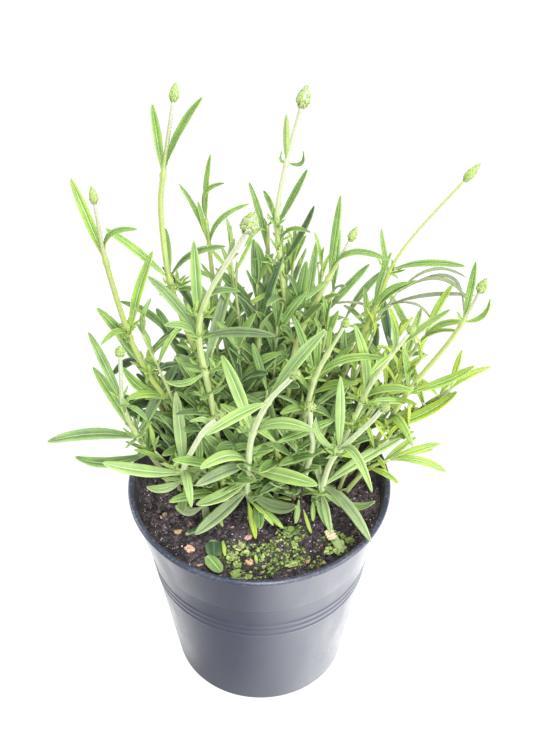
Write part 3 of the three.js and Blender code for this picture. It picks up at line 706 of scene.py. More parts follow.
liverwortLook = {
    "dark": (0.07, 0.11, 0.025),
    "grey": (0.14, 0.21, 0.045),
    "green": (0.24, 0.33, 0.08),
    "lime": (0.37, 0.46, 0.17),
    "vein": (0.12, 0.18, 0.05),
    "felt": (0.36, 0.45, 0.19),
    "under": (0.1, 0.15, 0.04),
    "paintedShadeBand": (0, 0),
}

# The plant, a row for each stem.
# path: points of the stem's middle line, from the compost to the tip.
# leaves: share of the stem, heading (0 is +X, 90 is +Y), rise, length, bow (middle above chord).
# pairs: leaves in crossed pairs: count, first share, last share, length, rise.
# bud: length and radius of the flower bud on the tip.
plant = [
    {"name": "stem_a", "bud": [9, 2],
     "path": [[-14, 22, 110], [-21, 23, 154], [-32, 23, 194], [-40, 24, 229], [-42, 25, 265],
         [-40, 25, 286], [-34, 26, 322]],
     "leaves": [[0.83, 130, 82, 34, 0], [0.83, -5, 65, 44, 2], [0.57, -170, 50, 42, 1],
         [0.57, -15, 40, 36, 5], [0.57, 95, 5, 34, 1], [0.54, 50, -40, 26, 2]],
     "pairs": [[2, 0.16, 0.36, 28, 34]]},
    {"name": "stem_b", "bud": [9, 1.9],
     "path": [[-30, 16, 110], [-32, 15, 138], [-45, 13, 166], [-52, 12, 182], [-59, 11, 206],
         [-66, 8, 252], [-68, 6, 285]],
     "leaves": [[0.82, 150, 70, 42, 0], [0.82, -15, 52, 26, 7], [0.56, 35, 70, 46, 2],
         [0.56, -125, 25, 22, 5], [0.42, 170, 60, 44, 2], [0.42, 90, -8, 24, 2],
         [0.32, -150, 55, 36, -3], [0.32, -140, 30, 26, 3]],
     "pairs": [[2, 0.12, 0.24, 26, 30]]},
    {"name": "stem_c", "bud": [11, 2.8],
     "path": [[10, 28, 110], [13, 27, 149], [14, 27, 196], [11, 26, 233], [9, 25, 264],
         [13, 25, 292], [19, 24, 320]],
     "leaves": [[0.86, -90, 82, 28, 0], [0.86, -145, 75, 8, -2], [0.86, -25, 50, 12, -4],
         [0.7, -5, 68, 34, 0], [0.7, 105, 8, 24, 2], [0.59, -15, 68, 40, -1],
         [0.59, 135, -18, 20, 2], [0.65, -35, 40, 22, 5]],
     "pairs": [[3, 0.18, 0.48, 30, 44]]},
    {"name": "stem_d", "bud": [10, 3],
     "path": [[-15, 6, 110], [-19, 2, 140], [-22, -4, 179], [-26, -11, 224], [-22, -15, 249],
         [-12, -20, 274], [-4, -24, 292]],
     "leaves": [[0.61, -25, 22, 40, 3], [0.61, -170, 62, 44, 2], [0.61, -140, 45, 26, 3],
         [0.64, 100, 78, 44, 0], [0.69, -20, 47, 26, 7], [0.48, 75, 25, 52, 2],
         [0.89, 75, 20, 12, 0], [0.48, -135, 25, 26, -3], [0.39, 65, 8, 34, 3],
         [0.48, 125, -12, 24, 0]],
     "pairs": [[2, 0.14, 0.3, 28, 32]]},
    {"name": "stem_e", "bud": [8, 1.8],
     "path": [[12, 17, 110], [14, 17, 159], [18, 18, 194], [28, 18, 223], [41, 18, 255]],
     "leaves": [[0.85, 55, 80, 42, 0], [0.85, -30, 35, 36, 9], [0.85, -125, 2, 20, 0],
         [0.65, 80, 32, 42, 2], [0.65, -125, 55, 16, 3], [0.56, -170, 70, 26, 0]],
     "pairs": [[3, 0.15, 0.45, 28, 40]]},
    {"name": "stem_f", "bud": [10, 2.3],
     "path": [[22, 21, 110], [31, 22, 133], [42, 24, 172], [55, 26, 208], [61, 27, 231],
         [70, 28, 249], [91, 30, 278]],
     "leaves": [[0.69, -30, 25, 40, 3], [0.68, 95, 18, 26, -2], [0.57, 25, 78, 32, 2],
         [0.55, -10, 50, 30, 3], [0.56, -15, 53, 26, 4], [0.51, 70, 15, 24, 1],
         [0.51, 90, 12, 24, 3], [0.51, 115, -12, 24, 2]],
     "pairs": [[2, 0.15, 0.36, 26, 40]]},
    {"name": "stem_g", "bud": [9, 2.2],
     "path": [[37, 12, 110], [43, 11, 117], [56, 10, 134], [71, 7, 173], [88, 4, 208],
         [96, 3, 230], [98, 2, 238]],
     "leaves": [[0.86, 50, 78, 32, -1], [0.86, -25, 58, 22, -4], [0.86, 175, 68, 7, 0],
         [0.51, -10, 35, 36, -2], [0.51, 160, -30, 20, 2], [0.51, 160, 80, 26, 1],
         [0.32, -5, 38, 42, -3], [0.32, -65, 20, 28, 10], [0.32, 20, -8, 24, 3],
         [0.32, 115, -28, 18, 0]]},
    {"name": "stem_h", "bud": [7, 1.7],
     "path": [[29, 10, 110], [37, 5, 132], [44, 0, 158], [53, -8, 196], [66, -16, 230]],
     "leaves": [[0.9, -10, 50, 34, 1], [0.85, 130, 85, 24, 3], [0.85, -130, 2, 16, 2],
         [0.57, 130, 78, 42, 5], [0.57, -30, 35, 30, 4], [0.54, 25, -15, 24, 2],
         [0.4, 130, -10, 18, 2], [0.4, 60, -5, 22, 2]],
     "pairs": [[1, 0.25, 0.25, 24, 30]]},
    {"name": "stem_i", "bud": [6, 1.6],
     "path": [[15, 8, 110], [20, 3, 145], [26, -3, 191], [38, -10, 229]],
     "leaves": [[0.83, 5, 70, 20, 0], [0.83, 85, 5, 18, 0], [0.67, 135, 65, 34, 1],
         [0.67, -15, 32, 38, 6]],
     "pairs": [[2, 0.2, 0.45, 26, 34]]},
    {"name": "stem_j", "bud": [7, 2.6],
     "path": [[20, 0, 110], [25, -14, 156], [24, -20, 175], [23, -26, 194]],
     "leaves": [[0.5, 65, 8, 22, 2]]},
    {"name": "stem_k", "bud": [8, 2.2],
     "path": [[28, -6, 110], [30, -9, 121], [33, -18, 149], [37, -23, 164], [48, -38, 196],
         [53, -46, 213]],
     "leaves": [[0.51, 90, 72, 38, 2], [0.51, 175, 55, 24, -4], [0.48, -65, 10, 34, 12],
         [0.14, 175, 20, 34, 4], [0.13, 110, 45, 47, 3], [0.16, 20, 25, 46, 2],
         [0.12, -30, 15, 30, -7], [0.17, -60, 0, 42, 6], [0.09, -80, -8, 24, 3]]},
    {"name": "stem_l", "bud": [8, 2.1],
     "path": [[-5, -4, 110], [-6, -8, 122], [-5, -18, 152], [-3, -27, 179], [4, -40, 212],
         [14, -52, 238]],
     "leaves": [[0.79, -135, 10, 38, 2], [0.79, 20, 52, 42, 2], [0.53, 120, 45, 39, 2],
         [0.53, -25, 25, 34, 6], [0.32, -145, 24, 30, 6], [0.3, -145, 8, 30, 2],
         [0.27, -30, 12, 38, 1], [0.17, -140, 10, 32, -2], [0.08, -135, -4, 36, 0],
         [0.09, -40, 18, 32, -5]]},
    {"name": "stem_m", "bud": [8, 2.4],
     "path": [[-28, -2, 110], [-34, -7, 122], [-36, -14, 143], [-26, -27, 180], [-18, -34, 197]],
     "leaves": [[0.79, -155, 62, 12, 6], [0.38, -80, -2, 24, 6], [0.38, 100, 66, 40, 2],
         [0.36, -160, 28, 44, -2], [0.27, -140, 25, 26, -3], [0.22, -100, 20, 26, -6]]},
    {"name": "stem_n", "bud": [7, 2.2],
     "path": [[-47, 12, 110], [-54, 6, 135], [-58, 2, 149], [-63, -5, 178], [-61, -14, 217]],
     "leaves": [[0.64, 130, 52, 38, 1], [0.64, -30, -18, 14, 3], [0.37, -160, 17, 46, 4],
         [0.37, 135, 42, 41, 1], [0.37, 40, 35, 44, 2], [0.24, -150, 24, 42, -5],
         [0.24, 90, 2, 18, 1]]},
    {"name": "stem_o",
     "path": [[-9, 32, 110], [-10, 32, 116], [-15, 37, 174], [-20, 40, 206], [-23, 44, 248]],
     "leaves": [[1, 5, 85, 36, 1], [1, -30, 66, 26, 6], [0.89, 160, 67, 36, 2],
         [0.9, -175, 80, 26, 0], [0.88, 2, 54, 32, 6], [0.76, 60, 0, 24, 2],
         [0.76, 125, -16, 20, 1]],
     "pairs": [[2, 0.26, 0.55, 28, 44]]},
    {"name": "stem_p",
     "path": [[2, 40, 110], [2, 41, 126], [5, 41, 179], [5, 42, 215], [5, 43, 245]],
     "leaves": [[1, -70, 82, 28, -2], [0.89, 175, 78, 40, 1], [0.97, -120, 15, 22, 5],
         [0.98, 100, 0, 10, 0]],
     "pairs": [[2, 0.3, 0.6, 28, 48]]},
    {"name": "lime_a",
     "path": [[44, 24, 110], [58, 26, 142], [70, 28, 170], [80, 28, 190]],
     "leaves": [[1, 30, 62, 30, 2], [1, -30, 40, 26, 3]],
     "pairs": [[4, 0.5, 0.92, 27, 42]]},
    {"name": "lime_b",
     "path": [[47, 16, 110], [62, 16, 130], [78, 14, 152], [92, 12, 170]],
     "leaves": [[1, 10, 30, 22, 2], [1, 60, 60, 20, 1]],
     "pairs": [[4, 0.45, 0.9, 22, 34]]},
    {"name": "lime_c",
     "path": [[44, 2, 110], [54, 2, 126], [64, 0, 134]],
     "leaves": [[1, 5, 20, 26, 1], [1, 12, 6, 22, 2], [1, -14, -4, 28, 4], [0.9, 30, 24, 20, 1],
         [0.6, -40, 4, 18, 2]]},
    {"name": "limp_leaves", "slim": 0.4,
     "path": [[30, 36, 110], [42, 38, 150], [54, 38, 185], [66, 34, 212]],
     "leaves": [[1, 5, -25, 36, 17], [1, -10, -10, 36, 14], [1, 10, 5, 34, 10], [0.9, 0, 8, 42, 4],
         [0.9, -20, -20, 24, 8], [0.85, 170, 10, 26, 4]]},
    {"name": "shoot_a",
     "path": [[0, 18, 110], [-2, 17, 150], [0, 16, 190], [2, 15, 212]],
     "pairs": [[5, 0.4, 1, 32, 50]]},
    {"name": "shoot_b",
     "path": [[-24, 32, 110], [-28, 35, 150], [-28, 35, 192]],
     "pairs": [[4, 0.4, 1, 32, 52]]},
    {"name": "shoot_c",
     "path": [[18, 34, 110], [22, 38, 150], [30, 40, 188], [36, 40, 208]],
     "pairs": [[5, 0.4, 1, 30, 52]]},
    {"name": "shoot_d",
     "path": [[-40, 26, 110], [-48, 29, 140], [-56, 31, 172]],
     "pairs": [[4, 0.35, 1, 32, 40]]},
    {"name": "shoot_e",
     "path": [[8, -1, 110], [9, -9, 140], [8, -13, 160]],
     "pairs": [[3, 0.4, 1, 30, 34]]},
    {"name": "shoot_f",
     "path": [[-17, -7, 110], [-18, -11, 126], [-16, -17, 146]],
     "pairs": [[3, 0.3, 1, 30, 26]]},
    {"name": "shoot_g",
     "path": [[2, 51, 110], [0, 58, 140], [-4, 64, 174]],
     "pairs": [[4, 0.35, 1, 34, 40]]},
    {"name": "shoot_h",
     "path": [[-26, 46, 110], [-34, 54, 135], [-44, 60, 162]],
     "pairs": [[4, 0.35, 1, 32, 32]]},
    {"name": "shoot_i",
     "path": [[26, 47, 110], [34, 54, 142], [44, 60, 174]],
     "pairs": [[4, 0.35, 1, 34, 38]]},
    {"name": "shoot_j",
     "path": [[42, 34, 110], [54, 42, 138], [66, 48, 164]],
     "pairs": [[4, 0.35, 1, 30, 34]]},
    {"name": "shoot_k",
     "path": [[-13, 13, 110], [-11, 8, 150], [-8, 4, 182]],
     "pairs": [[4, 0.4, 1, 30, 48]]},
]
# How fresh each stem's leaves are: 0 dark grey-green, 1 lime.
tones = {
    "stem_a": 0.74, "stem_b": 0.74, "stem_c": 0.62, "stem_d": 0.6, "stem_e": 0.74, "stem_f": 0.68,
    "stem_g": 0.8, "stem_h": 0.76, "stem_i": 0.7, "stem_j": 0.64, "stem_k": 0.58, "stem_l": 0.62,
    "stem_m": 0.62, "stem_n": 0.6, "stem_o": 0.7, "stem_p": 0.66, "lime_a": 0.92, "lime_b": 1.0,
    "lime_c": 0.84, "limp_leaves": 0.5, "shoot_c": 0.72,
    "shoot_e": 0.85, "shoot_f": 0.8, "shoot_h": 0.68, "shoot_i": 0.72,
}
# Each stalk: half its thickness at the tip, how felted it is, where the bare part starts, how pale that is.
stalks = {
    "stem_a": (0.9, 0.15, 0.84, 0.8), "stem_b": (0.9, 0.1, 0.84, 0.8), "stem_c": (1.05, 0.3, 0.72, 0.65),
    "stem_d": (1.2, 0.35, 0.75, 0.6), "stem_e": (0.8, 0.2, 0.88, 0.9), "stem_f": (0.72, 0.12, 0.7, 0.15),
    "stem_g": (0.9, 0.2, 0.86, 0.8), "stem_h": (0.9, 0.6, 0.85, 0.5), "stem_i": (0.8, 0.5, 0.85, 0.5),
    "stem_j": (1.2, 0.9, 0.6, 0.3), "stem_k": (1.2, 1.0, 0.75, 0.3), "stem_l": (1.25, 0.9, 0.8, 0.2),
    "stem_m": (1.4, 1.0, 0.6, 0.3), "stem_n": (0.95, 0.5, 0.65, 0.6), "stem_o": (0.95, 0.15, 2, 0),
    "limp_leaves": (0.5, 0.1, 0.4, 0.6),
}
# How narrow each stem's leaves are beside the widest.
slimness = {
    "stem_a": 0.88, "stem_b": 0.86, "stem_c": 0.74, "stem_e": 0.74, "stem_f": 0.68, "stem_g": 0.8,
    "stem_h": 0.8, "stem_i": 0.72, "stem_k": 0.76, "stem_l": 1.04, "stem_m": 0.84,
    "stem_n": 0.78, "stem_o": 0.66,
    "stem_p": 0.7, "lime_a": 0.78, "lime_b": 0.76, "lime_c": 0.7, "limp_leaves": 1.0,
}
# How felted each stem's leaves are.
felted = {"stem_d": 0.2, "stem_j": 0.5, "stem_k": 0.4, "stem_l": 0.3, "stem_m": 0.4, "stem_n": 0.08,
          "stem_h": 0.15}
# Leaves darker and more felted than their stem's, by their row: some are greyer felted leaves, some
# get painted shade because they lie in shade.
darker = {
    "stem_a": {3: 0.25}, "stem_d": {0: 0.2, 1: 0.12, 5: 0.35, 9: 0.3},
    "stem_l": {4: -0.06, 5: 0.3, 7: 0.12, 8: 0.34, 9: 0.3}, "stem_k": {3: 0.25, 4: 0.3, 7: 0.3, 8: 0.2},
    "stem_m": {2: 0.12, 4: 0.2, 5: 0.1}, "stem_n": {2: 0.2, 4: 0.25, 5: 0.12}, "stem_h": {3: 0.1, 7: 0.3},
    "stem_i": {2: 0.15}, "stem_c": {3: 0.1, 5: 0.3}, "stem_e": {2: 0.2, 3: 0.2},
}
leafValues = {
    "baseWidth": 1.7,
    "widthRate": 0.082,
    "crown": 0.42,
    "rolledEdge": 0.25,
    "midribSunk": 0.42,
    "keel": 0.4,
    "tracedTurn": 0.62,
    "ruledTurn": 0.35,
    "sprigTurn": 0.4,
    "shootTurn": 0.5,
    "twist": 12,
    "mostTurn": 80,
    "light": (0, -0.72, 0.69),
    "innerTone": 0.42,
    "lowWidth": 0.42,  # how much wider the low leaves are
    "lowHeights": (145, 205),  # widest below the first, no wider above the second
    "mostRoll": 1.9,  # radians
    "settled": 0.03,  # how near a leaf's tip and the solid's corner have to be
    "ageTone": -0.2,  # of the leaves in pairs, beside those set one by one
    # painted shade: leaves made darker towards the top of the plant, where the lamps light them more
    "highPaintedShade": -0.1,  # at the top of the plant
    "leafTone": 0.02,
    "buried": 8,  # how far a stem goes on under its foot
    "jointSwell": (0.14, 1.6),  # how much thicker, over what length
    "sprigLength": (5, 13),
    "sprigReach": 0.72,  # no sprigs higher than this share of a stem
    "sprigTone": 0.1,
}
# Swings a leaf may have been given to clear its neighbours: heading, rise, share of its length.
swings = [(0, 0, 1), (7, 0, 1), (-7, 0, 1), (0, 7, 1), (0, -7, 1), (12, 6, 0.96), (-12, 6, 0.96),
          (12, -6, 0.96), (-12, -6, 0.96), (20, 0, 0.9), (-20, 0, 0.9), (0, 14, 0.9), (0, -14, 0.9),
          (30, 8, 0.85), (-30, 8, 0.85), (26, -12, 0.8), (-26, -12, 0.8), (0, 0, 0.7), (40, 0, 0.7),
          (-40, 0, 0.7), (10, 20, 0.6), (-10, 20, 0.6), (0, 0, 0.5)]


# A point at a share of the way along the path's own points, measured in straight lengths.
def pointOn(path, share):
    reach = reachAlong(path)
    return np.array([np.interp(share * reach[-1], reach, path[:, axis]) for axis in range(3)])


# The way of a heading and a rise: (cos e cos h, cos e sin h, sin e).
def wayOf(heading, rise):
    h, e = math.radians(heading), math.radians(rise)
    return np.array([math.cos(e) * math.cos(h), math.cos(e) * math.sin(h), math.sin(e)])


# turn: how far the blade turns from level towards the light. slim: its width beside the widest.
def newLeaf(heading, rise, length, bow, seed, turn, slim, share=1):
    return {"heading": heading, "rise": rise, "length": length, "bow": bow, "seed": seed, "turn": turn,
            "slim": slim, "share": share}


# The leaves of one stem: those set one by one, then the crossed pairs.
def leavesOf(stem, index):
    leaves = []
    for k, (share, heading, rise, length, bow) in enumerate(stem.get("leaves", [])):
        leaves.append(newLeaf(heading, rise, length, bow, index * 100 + k, leafValues["tracedTurn"],
                              stem.get("slim", 1), share))
    for row, (count, first, last, length, rise) in enumerate(stem.get("pairs", [])):
        for i in range(count):
            for half in range(2):
                seed = index * 100 + 30 + row * 30 + i * 2 + half
                share = first + (last - first) * i / (count - 1) if count > 1 else first
                heading = index * 37 + i * 90 + half * 180 + 22 * drawOne(seed + 0.1)
                leaves.append(newLeaf(heading, rise + 14 * drawOne(seed + 0.2),
                                      length * (1 + 0.18 * drawOne(seed + 0.3)),
                                      2 + 2 * drawOne(seed + 0.4), seed, leafValues["ruledTurn"], 1, share))
    return leaves


# The swing whose tip is a corner of the solid leaf; None if this leaf was left out.
def settle(leaf, base, corners):
    for heading, rise, share in swings:
        way = wayOf(leaf["heading"] + heading, leaf["rise"] + rise)
        tip = base + way * leaf["length"] * share
        if np.min(np.abs(corners - tip).max(1)) < leafValues["settled"]:
            return {**leaf, "heading": leaf["heading"] + heading, "rise": leaf["rise"] + rise,
                    "length": leaf["length"] * share}
    return None


# Smooth curve through the points: Catmull-Rom, about step apart.
def smoothPath(points, step=2.0):
    points = np.asarray(points, float)
    padded = np.concatenate([[2 * points[0] - points[1]], points, [2 * points[-1] - points[-2]]])
    parts = []
    for k in range(len(points) - 1):
        p0, p1, p2, p3 = padded[k:k + 4]
        count = max(int(np.linalg.norm(p2 - p1) / step), 2)
        t = np.linspace(0, 1, count, endpoint=False)[:, None]
        parts.append(0.5 * (2 * p1 + (p2 - p0) * t + (2 * p0 - 5 * p1 + 4 * p2 - p3) * t ** 2
                            + (3 * p1 - p0 - 3 * p2 + p3) * t ** 3))
    return np.concatenate(parts + [points[-1:]])


# Blade: its middle line is a quadratic curve base, middle, tip. Over each point stands a closed
# section: two low lobes above with the midrib sunk between them, edges rolled down, and a keel
# below. The half width swells from a narrow root and closes bluntly at the tip.
def addBlade(bag, base, middle, tip, side, roll, halfWidth, tone, values=leafValues, stations=14,
             fine=True, twist=0.0, cup=0.0, belly=0.5, shoulder=0.5, blunt=2.3, root=0.24, thick=1.0,
             ripple=0.0, felt=0.0, slot=0, seed=0):
    u = 1 - (1 - np.linspace(0, 1, stations + 1)[:-1]) ** 1.4  # closer together at the tip
    w = u[:, None]
    centre = base * (1 - w) ** 2 + middle * 2 * w * (1 - w) + tip * w ** 2
    along = unit((middle - base) * (1 - w) + (tip - middle) * w)
    flatUp = unit(np.cross(side, along))
    sideways = unit(np.cross(along, flatUp))
    angle = roll + twist * (w - 0.35)
    across = sideways * np.cos(angle) + flatUp * np.sin(angle)
    face = flatUp * np.cos(angle) - sideways * np.sin(angle)
    grow = root + (1 - root) * np.sin(np.clip(u / belly, 0, 1) * math.pi / 2) ** 1.3
    close = (1 - (np.clip(u - shoulder, 0, 1) / (1.0001 - shoulder)) ** blunt) ** 0.6
    half = halfWidth * grow * close
    if fine:  # places across the blade: 0 the midrib, 1 and -1 its edges
        above = np.array([-1, -0.86, -0.6, -0.32, -0.11, 0, 0.11, 0.32, 0.6, 0.86])
        below = np.array([1, 0.78, 0.42, 0.13, 0, -0.13, -0.42, -0.78])
    else:
        above = np.array([-1, -0.6, -0.14, 0, 0.14, 0.6])
        below = np.array([1, 0.4, 0, -0.4])
    groove = np.exp(-(above / 0.16) ** 2)
    top = values["crown"] - (values["crown"] + values["rolledEdge"]) * np.abs(above) ** 3 \
        - values["midribSunk"] * groove
    bottom = -values["rolledEdge"] + 0.15 * (1 - below ** 2) - values["keel"] * np.exp(-(below / 0.2) ** 2)
    v = np.concatenate([above, below])
    depth = np.concatenate([top, bottom])
    scale = thick * min(1.0, halfWidth / 1.5) * np.clip(half / halfWidth * 2.2, 0.25, 1)
    wave = ripple * np.sin(u[:, None] * 21 + seed + 2 * np.sign(v)) * np.abs(v) ** 2
    wave = wave + cup * half[:, None] * (np.abs(v) - 0.4)
    rings = (centre[:, None] + across[:, None] * (half[:, None] * v)[..., None]
             + face[:, None] * (scale[:, None] * depth + wave)[..., None])
    paint = np.empty((*rings.shape[:2], 4))
    paint[..., 0] = w
    paint[..., 1] = np.abs(v)
    paint[..., 2] = tone
    paint[..., 3] = np.concatenate([np.full(len(above), 0.6 + 0.4 * felt), np.zeros(len(below))])
    addSkin(bag, rings, paint, (centre[0] - along[0] * 0.2, tip), slot)


# The way from a blade's root to its tip, its side and what is up for it.
def bladeFrame(root, tip):
    way = unit(tip - root)
    side = unit(np.cross(way, (0, 0, 1)))
    return way, side, np.cross(side, way)


# A leaf as the plant's table gives it, its root moved onto the smooth stem.
def addLeaf(bag, leaf, base, root, tone, values=leafValues, **shape):
    way = wayOf(leaf["heading"], leaf["rise"])
    h = math.radians(leaf["heading"])
    side = np.array([math.sin(h), -math.cos(h), 0.0])
    up = np.cross(side, way)
    tip = base + way * leaf["length"]
    middle = (base + tip) / 2 + up * 2 * leaf["bow"]
    lit = np.array(values["light"])
    lit = unit(lit - way * np.dot(lit, way))
    wanted = up * (1 - leaf["turn"]) + lit * leaf["turn"]
    most = math.radians(values["mostTurn"])
    roll = math.atan2(-np.dot(wanted, side), np.dot(wanted, up))
    if abs(roll) > values["mostRoll"]:  # its back is nearer the light than its edge
        roll -= math.copysign(math.pi, roll)
    roll = max(-most, min(most, roll)) + math.radians(values["twist"]) * drawOne(leaf["seed"])
    halfWidth = leaf["slim"] * (values["baseWidth"] + values["widthRate"] * leaf["length"]) / 2
    seed = leaf["seed"]
    addBlade(bag, root, middle, tip, side, roll, halfWidth, tone + 0.1 * drawOne(seed + 0.6),
             twist=0.35 * drawOne(seed + 0.7), cup=0.36 + 0.3 * drawOne(seed + 0.8), ripple=0.12,
             seed=seed, **shape)


# Square stem with rounded edges along the smooth path, swollen a little at its joints.
def addStem(bag, path, tipRadius, joints, felt, bareFrom=2.0, bareMost=0.0, baseRadius=1.5, slot=1):
    centres = smoothPath(np.concatenate([[path[0] - (0, 0, leafValues["buried"])], path]))
    along = unit(np.gradient(centres, axis=0))
    side = unit(np.array([1.0, 0, 0]) - along * along[:, :1])
    front = np.cross(along, side)
    steps = reachAlong(centres)
    share = steps / steps[-1]
    if bareFrom < 1:  # stout up to the last joint, thin above it
        stout = baseRadius + 0.4 * (tipRadius - baseRadius)
        radius = np.interp(share, [0, bareFrom, bareFrom + 0.04, 1],
                           [baseRadius, stout, tipRadius, tipRadius])
    else:
        radius = baseRadius + (tipRadius - baseRadius) * share
    for joint in joints:
        place = steps[nearest(centres, joint)]
        swell, over = leafValues["jointSwell"]
        radius = radius * (1 + swell * np.exp(-((steps - place) / over) ** 2))
    phi = np.arange(12) / 12 * 2 * math.pi
    square = (np.abs(np.cos(phi - math.pi / 4)) ** 3 + np.abs(np.sin(phi - math.pi / 4)) ** 3) ** (-1 / 3)
    square /= square.max()
    rings = ringsRound(centres, side[:, None], front[:, None], radius[:, None] * square, phi)
    paint = np.empty((*rings.shape[:2], 4))
    paint[..., 0] = share[:, None]
    paint[..., 1] = (np.clip(square - 0.9, 0, 1) * 10)[None]
    paint[..., 2] = felt
    paint[..., 3] = (bareMost * np.clip((share - bareFrom) / 0.15, 0, 1))[:, None]
    addSkin(bag, rings, paint, (centres[0], centres[-1] + along[-1] * radius[-1] * 0.4), slot)
    return centres


# Young side shoots in the joint's angles: a little tuft of crossed leaf pairs on each side.
def addSprigs(bag, root, number, size, tone, felt, narrow):
    seed = number * 17.3
    turn = 180 * drawOne(seed)
    for half in range(2):
        heading = turn + 180 * half + 25 * drawOne(seed + half * 0.7)
        way = wayOf(heading, 42 + 16 * drawOne(seed + half * 1.3))
        for k in range(3):
            start = root + way * size * (0.1 + 0.28 * k)
            for pair in range(2):
                one = seed + half * 5.1 + k * 1.9 + pair
                leaf = newLeaf(heading + 90 * (k % 2) + 180 * pair + 30 * drawOne(one),
                               24 + 18 * k + 16 * drawOne(one + 0.1),
                               size * (1.0 - 0.2 * k) * (1 + 0.25 * drawOne(one + 0.2)),
                               0.6 * drawOne(one + 0.3), one, leafValues["sprigTurn"], narrow)
                addLeaf(bag, leaf, start, start, tone + 0.05 * k, stations=7, fine=False, felt=felt,
                        shoulder=0.3, blunt=1.5)


# Each stem of the table: a leaf stands only where its tip is a corner of the solid, so both agree.
def makeStems(values=leafValues):
    for index, stem in enumerate(plant):
        name = stem["name"]
        path = np.array(stem["path"], float)
        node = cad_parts[name]
        corners = np.empty(len(node.data.vertices) * 3)
        node.data.vertices.foreach_get("co", corners)
        corners = corners.reshape(-1, 3) / mm
        tone = tones.get(name, values["innerTone"])
        leaves = []
        for leaf in leavesOf(stem, index):
            base = pointOn(path, leaf["share"])
            wide, plain = values["lowHeights"]
            low = float(np.clip((plain - base[2]) / (plain - wide), 0, 1))
            leaf["slim"] *= slimness.get(name, 0.92) * (1 + values["lowWidth"] * low)
            settled = settle(leaf, base, corners)
            if settled is not None:
                leaves.append((settled, base))
        bag = newBag()
        joints = [base for leaf, base in leaves if leaf["share"] < 0.97]
        thin, felt, bareFrom, bareMost = stalks.get(name, (0.95, 0.25, 2, 0))
        centres = addStem(bag, path, thin, joints, felt, bareFrom, bareMost, max(1.5, thin))
        rootOf = lambda base: centres[nearest(centres, base)]
        for leaf, base in leaves:
            age = 0.0 if leaf["turn"] == values["tracedTurn"] else values["ageTone"]
            # the higher the leaf, the more painted shade darkens its tone
            high = float(np.clip(base[2] / soilValues["level"] - 1, 0, 1))
            # darker by the table: real grey felt on some leaves, painted shade on others
            shade = darker.get(name, {}).get(leaf["seed"] % 100, 0)
            fresh = tone + age - shade + values["leafTone"] + values["highPaintedShade"] * high
            addLeaf(bag, leaf, base, rootOf(base), fresh,
                    felt=felted.get(name, 0.02) + 0.6 * max(shade, 0))
        shares = sorted({round(leaf["share"], 2) for leaf, base in leaves})
        shares = [one for k, one in enumerate(shares) if k == 0 or one - shares[k - 1] > 0.04]
        for k, share in enumerate(shares):
            short, long = values["sprigLength"]
            base = pointOn(path, share)
            if share < values["sprigReach"] and name != "limp_leaves":
                addSprigs(bag, rootOf(base), index * 20 + k, long + (short - long) * share,
                          tone + values["sprigTone"] - 0.2 * (1 - share), felted.get(name, 0.05),
                          slimness.get(name, 0.9))
        finish = driedMaterial if name == "limp_leaves" else leafMaterial
        piece = makePiece("leafy_" + name, bag, [finish, stemMaterial])
        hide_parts(name)


makeStems()
print("stems and leaves made")

# Short leafy shoots that fill the foot of the bush. Each leans out from the middle and carries
# crossed pairs of leaves, long and spreading low down, short and upright at the tip.
growthValues = {
    "count": 46,
    "centre": (0, 24),
    "spread": (45, 30),
    "height": (24, 66),
    "lean": 0.42,
    "scatter": (2, 9),  # of the feet and of the heights
    "gap": 8.5,
    "tallGap": 10.5,
    "rimReach": 58,  # a leaf that ends farther out than this has to end above rimClear
    "rimClear": 124,
    "leaf": 27,
    "slim": 1.3,
    # painted shade and light: shoots coloured darker at the back of the bush and lighter at the front
    "tones": (0.22, 0.5),  # at the back and at the front
}
# Taller shoots between the stems: foot, tip, first share with leaves, leaf length, rise, slimness, tone.
tallShoots = [
    ((6, 20), (9, 15, 208), 0.5, 35, 44, 1.12, 0.34), ((-8, 18), (-9, 10, 198), 0.45, 34, 40, 1.1, 0.4),
    ((14, 24), (19, 22, 210), 0.5, 36, 52, 1.08, 0.32), ((24, 20), (32, 18, 202), 0.45, 32, 50, 1.0, 0.5),
    ((-2, 30), (0, 31, 220), 0.55, 36, 54, 1.05, 0.34), ((-16, 26), (-21, 27, 206), 0.5, 34, 50, 1.0, 0.48),
    ((8, 34), (14, 36, 222), 0.6, 34, 56, 0.98, 0.42), ((20, 10), (27, 4, 186), 0.4, 32, 38, 1.0, 0.54),
    ((2, 8), (4, 0, 182), 0.4, 34, 38, 1.1, 0.38), ((-22, 10), (-28, 6, 176), 0.4, 32, 36, 1.0, 0.52),
    ((38, 22), (54, 22, 194), 0.4, 26, 50, 0.7, 0.8), ((46, 18), (72, 16, 170), 0.35, 22, 36, 0.75, 0.98),
    ((48, 8), (72, 3, 154), 0.35, 19, 26, 0.75, 0.98), ((44, 26), (68, 30, 188), 0.4, 24, 44, 0.7, 0.95),
    ((40, 4), (62, -4, 152), 0.4, 22, 30, 0.8, 0.8), ((42, 12), (66, 10, 182), 0.45, 24, 44, 0.72, 0.9),
    ((10, 30), (17, 33, 236), 0.65, 28, 58, 0.68, 0.7), ((-4, 26), (-12, 23, 244), 0.65, 28, 54, 0.68, 0.6),
    ((22, 28), (30, 30, 228), 0.6, 28, 56, 0.68, 0.66), ((-38, 18), (-50, 20, 168), 0.4, 26, 42, 0.8, 0.6),
    ((-40, 4), (-50, -4, 146), 0.35, 24, 28, 0.85, 0.62), ((-34, 10), (-52, 3, 214), 0.7, 24, 52, 0.8, 0.5),
    ((44, 14), (76, 7, 194), 0.55, 22, 46, 0.75, 0.88),
]


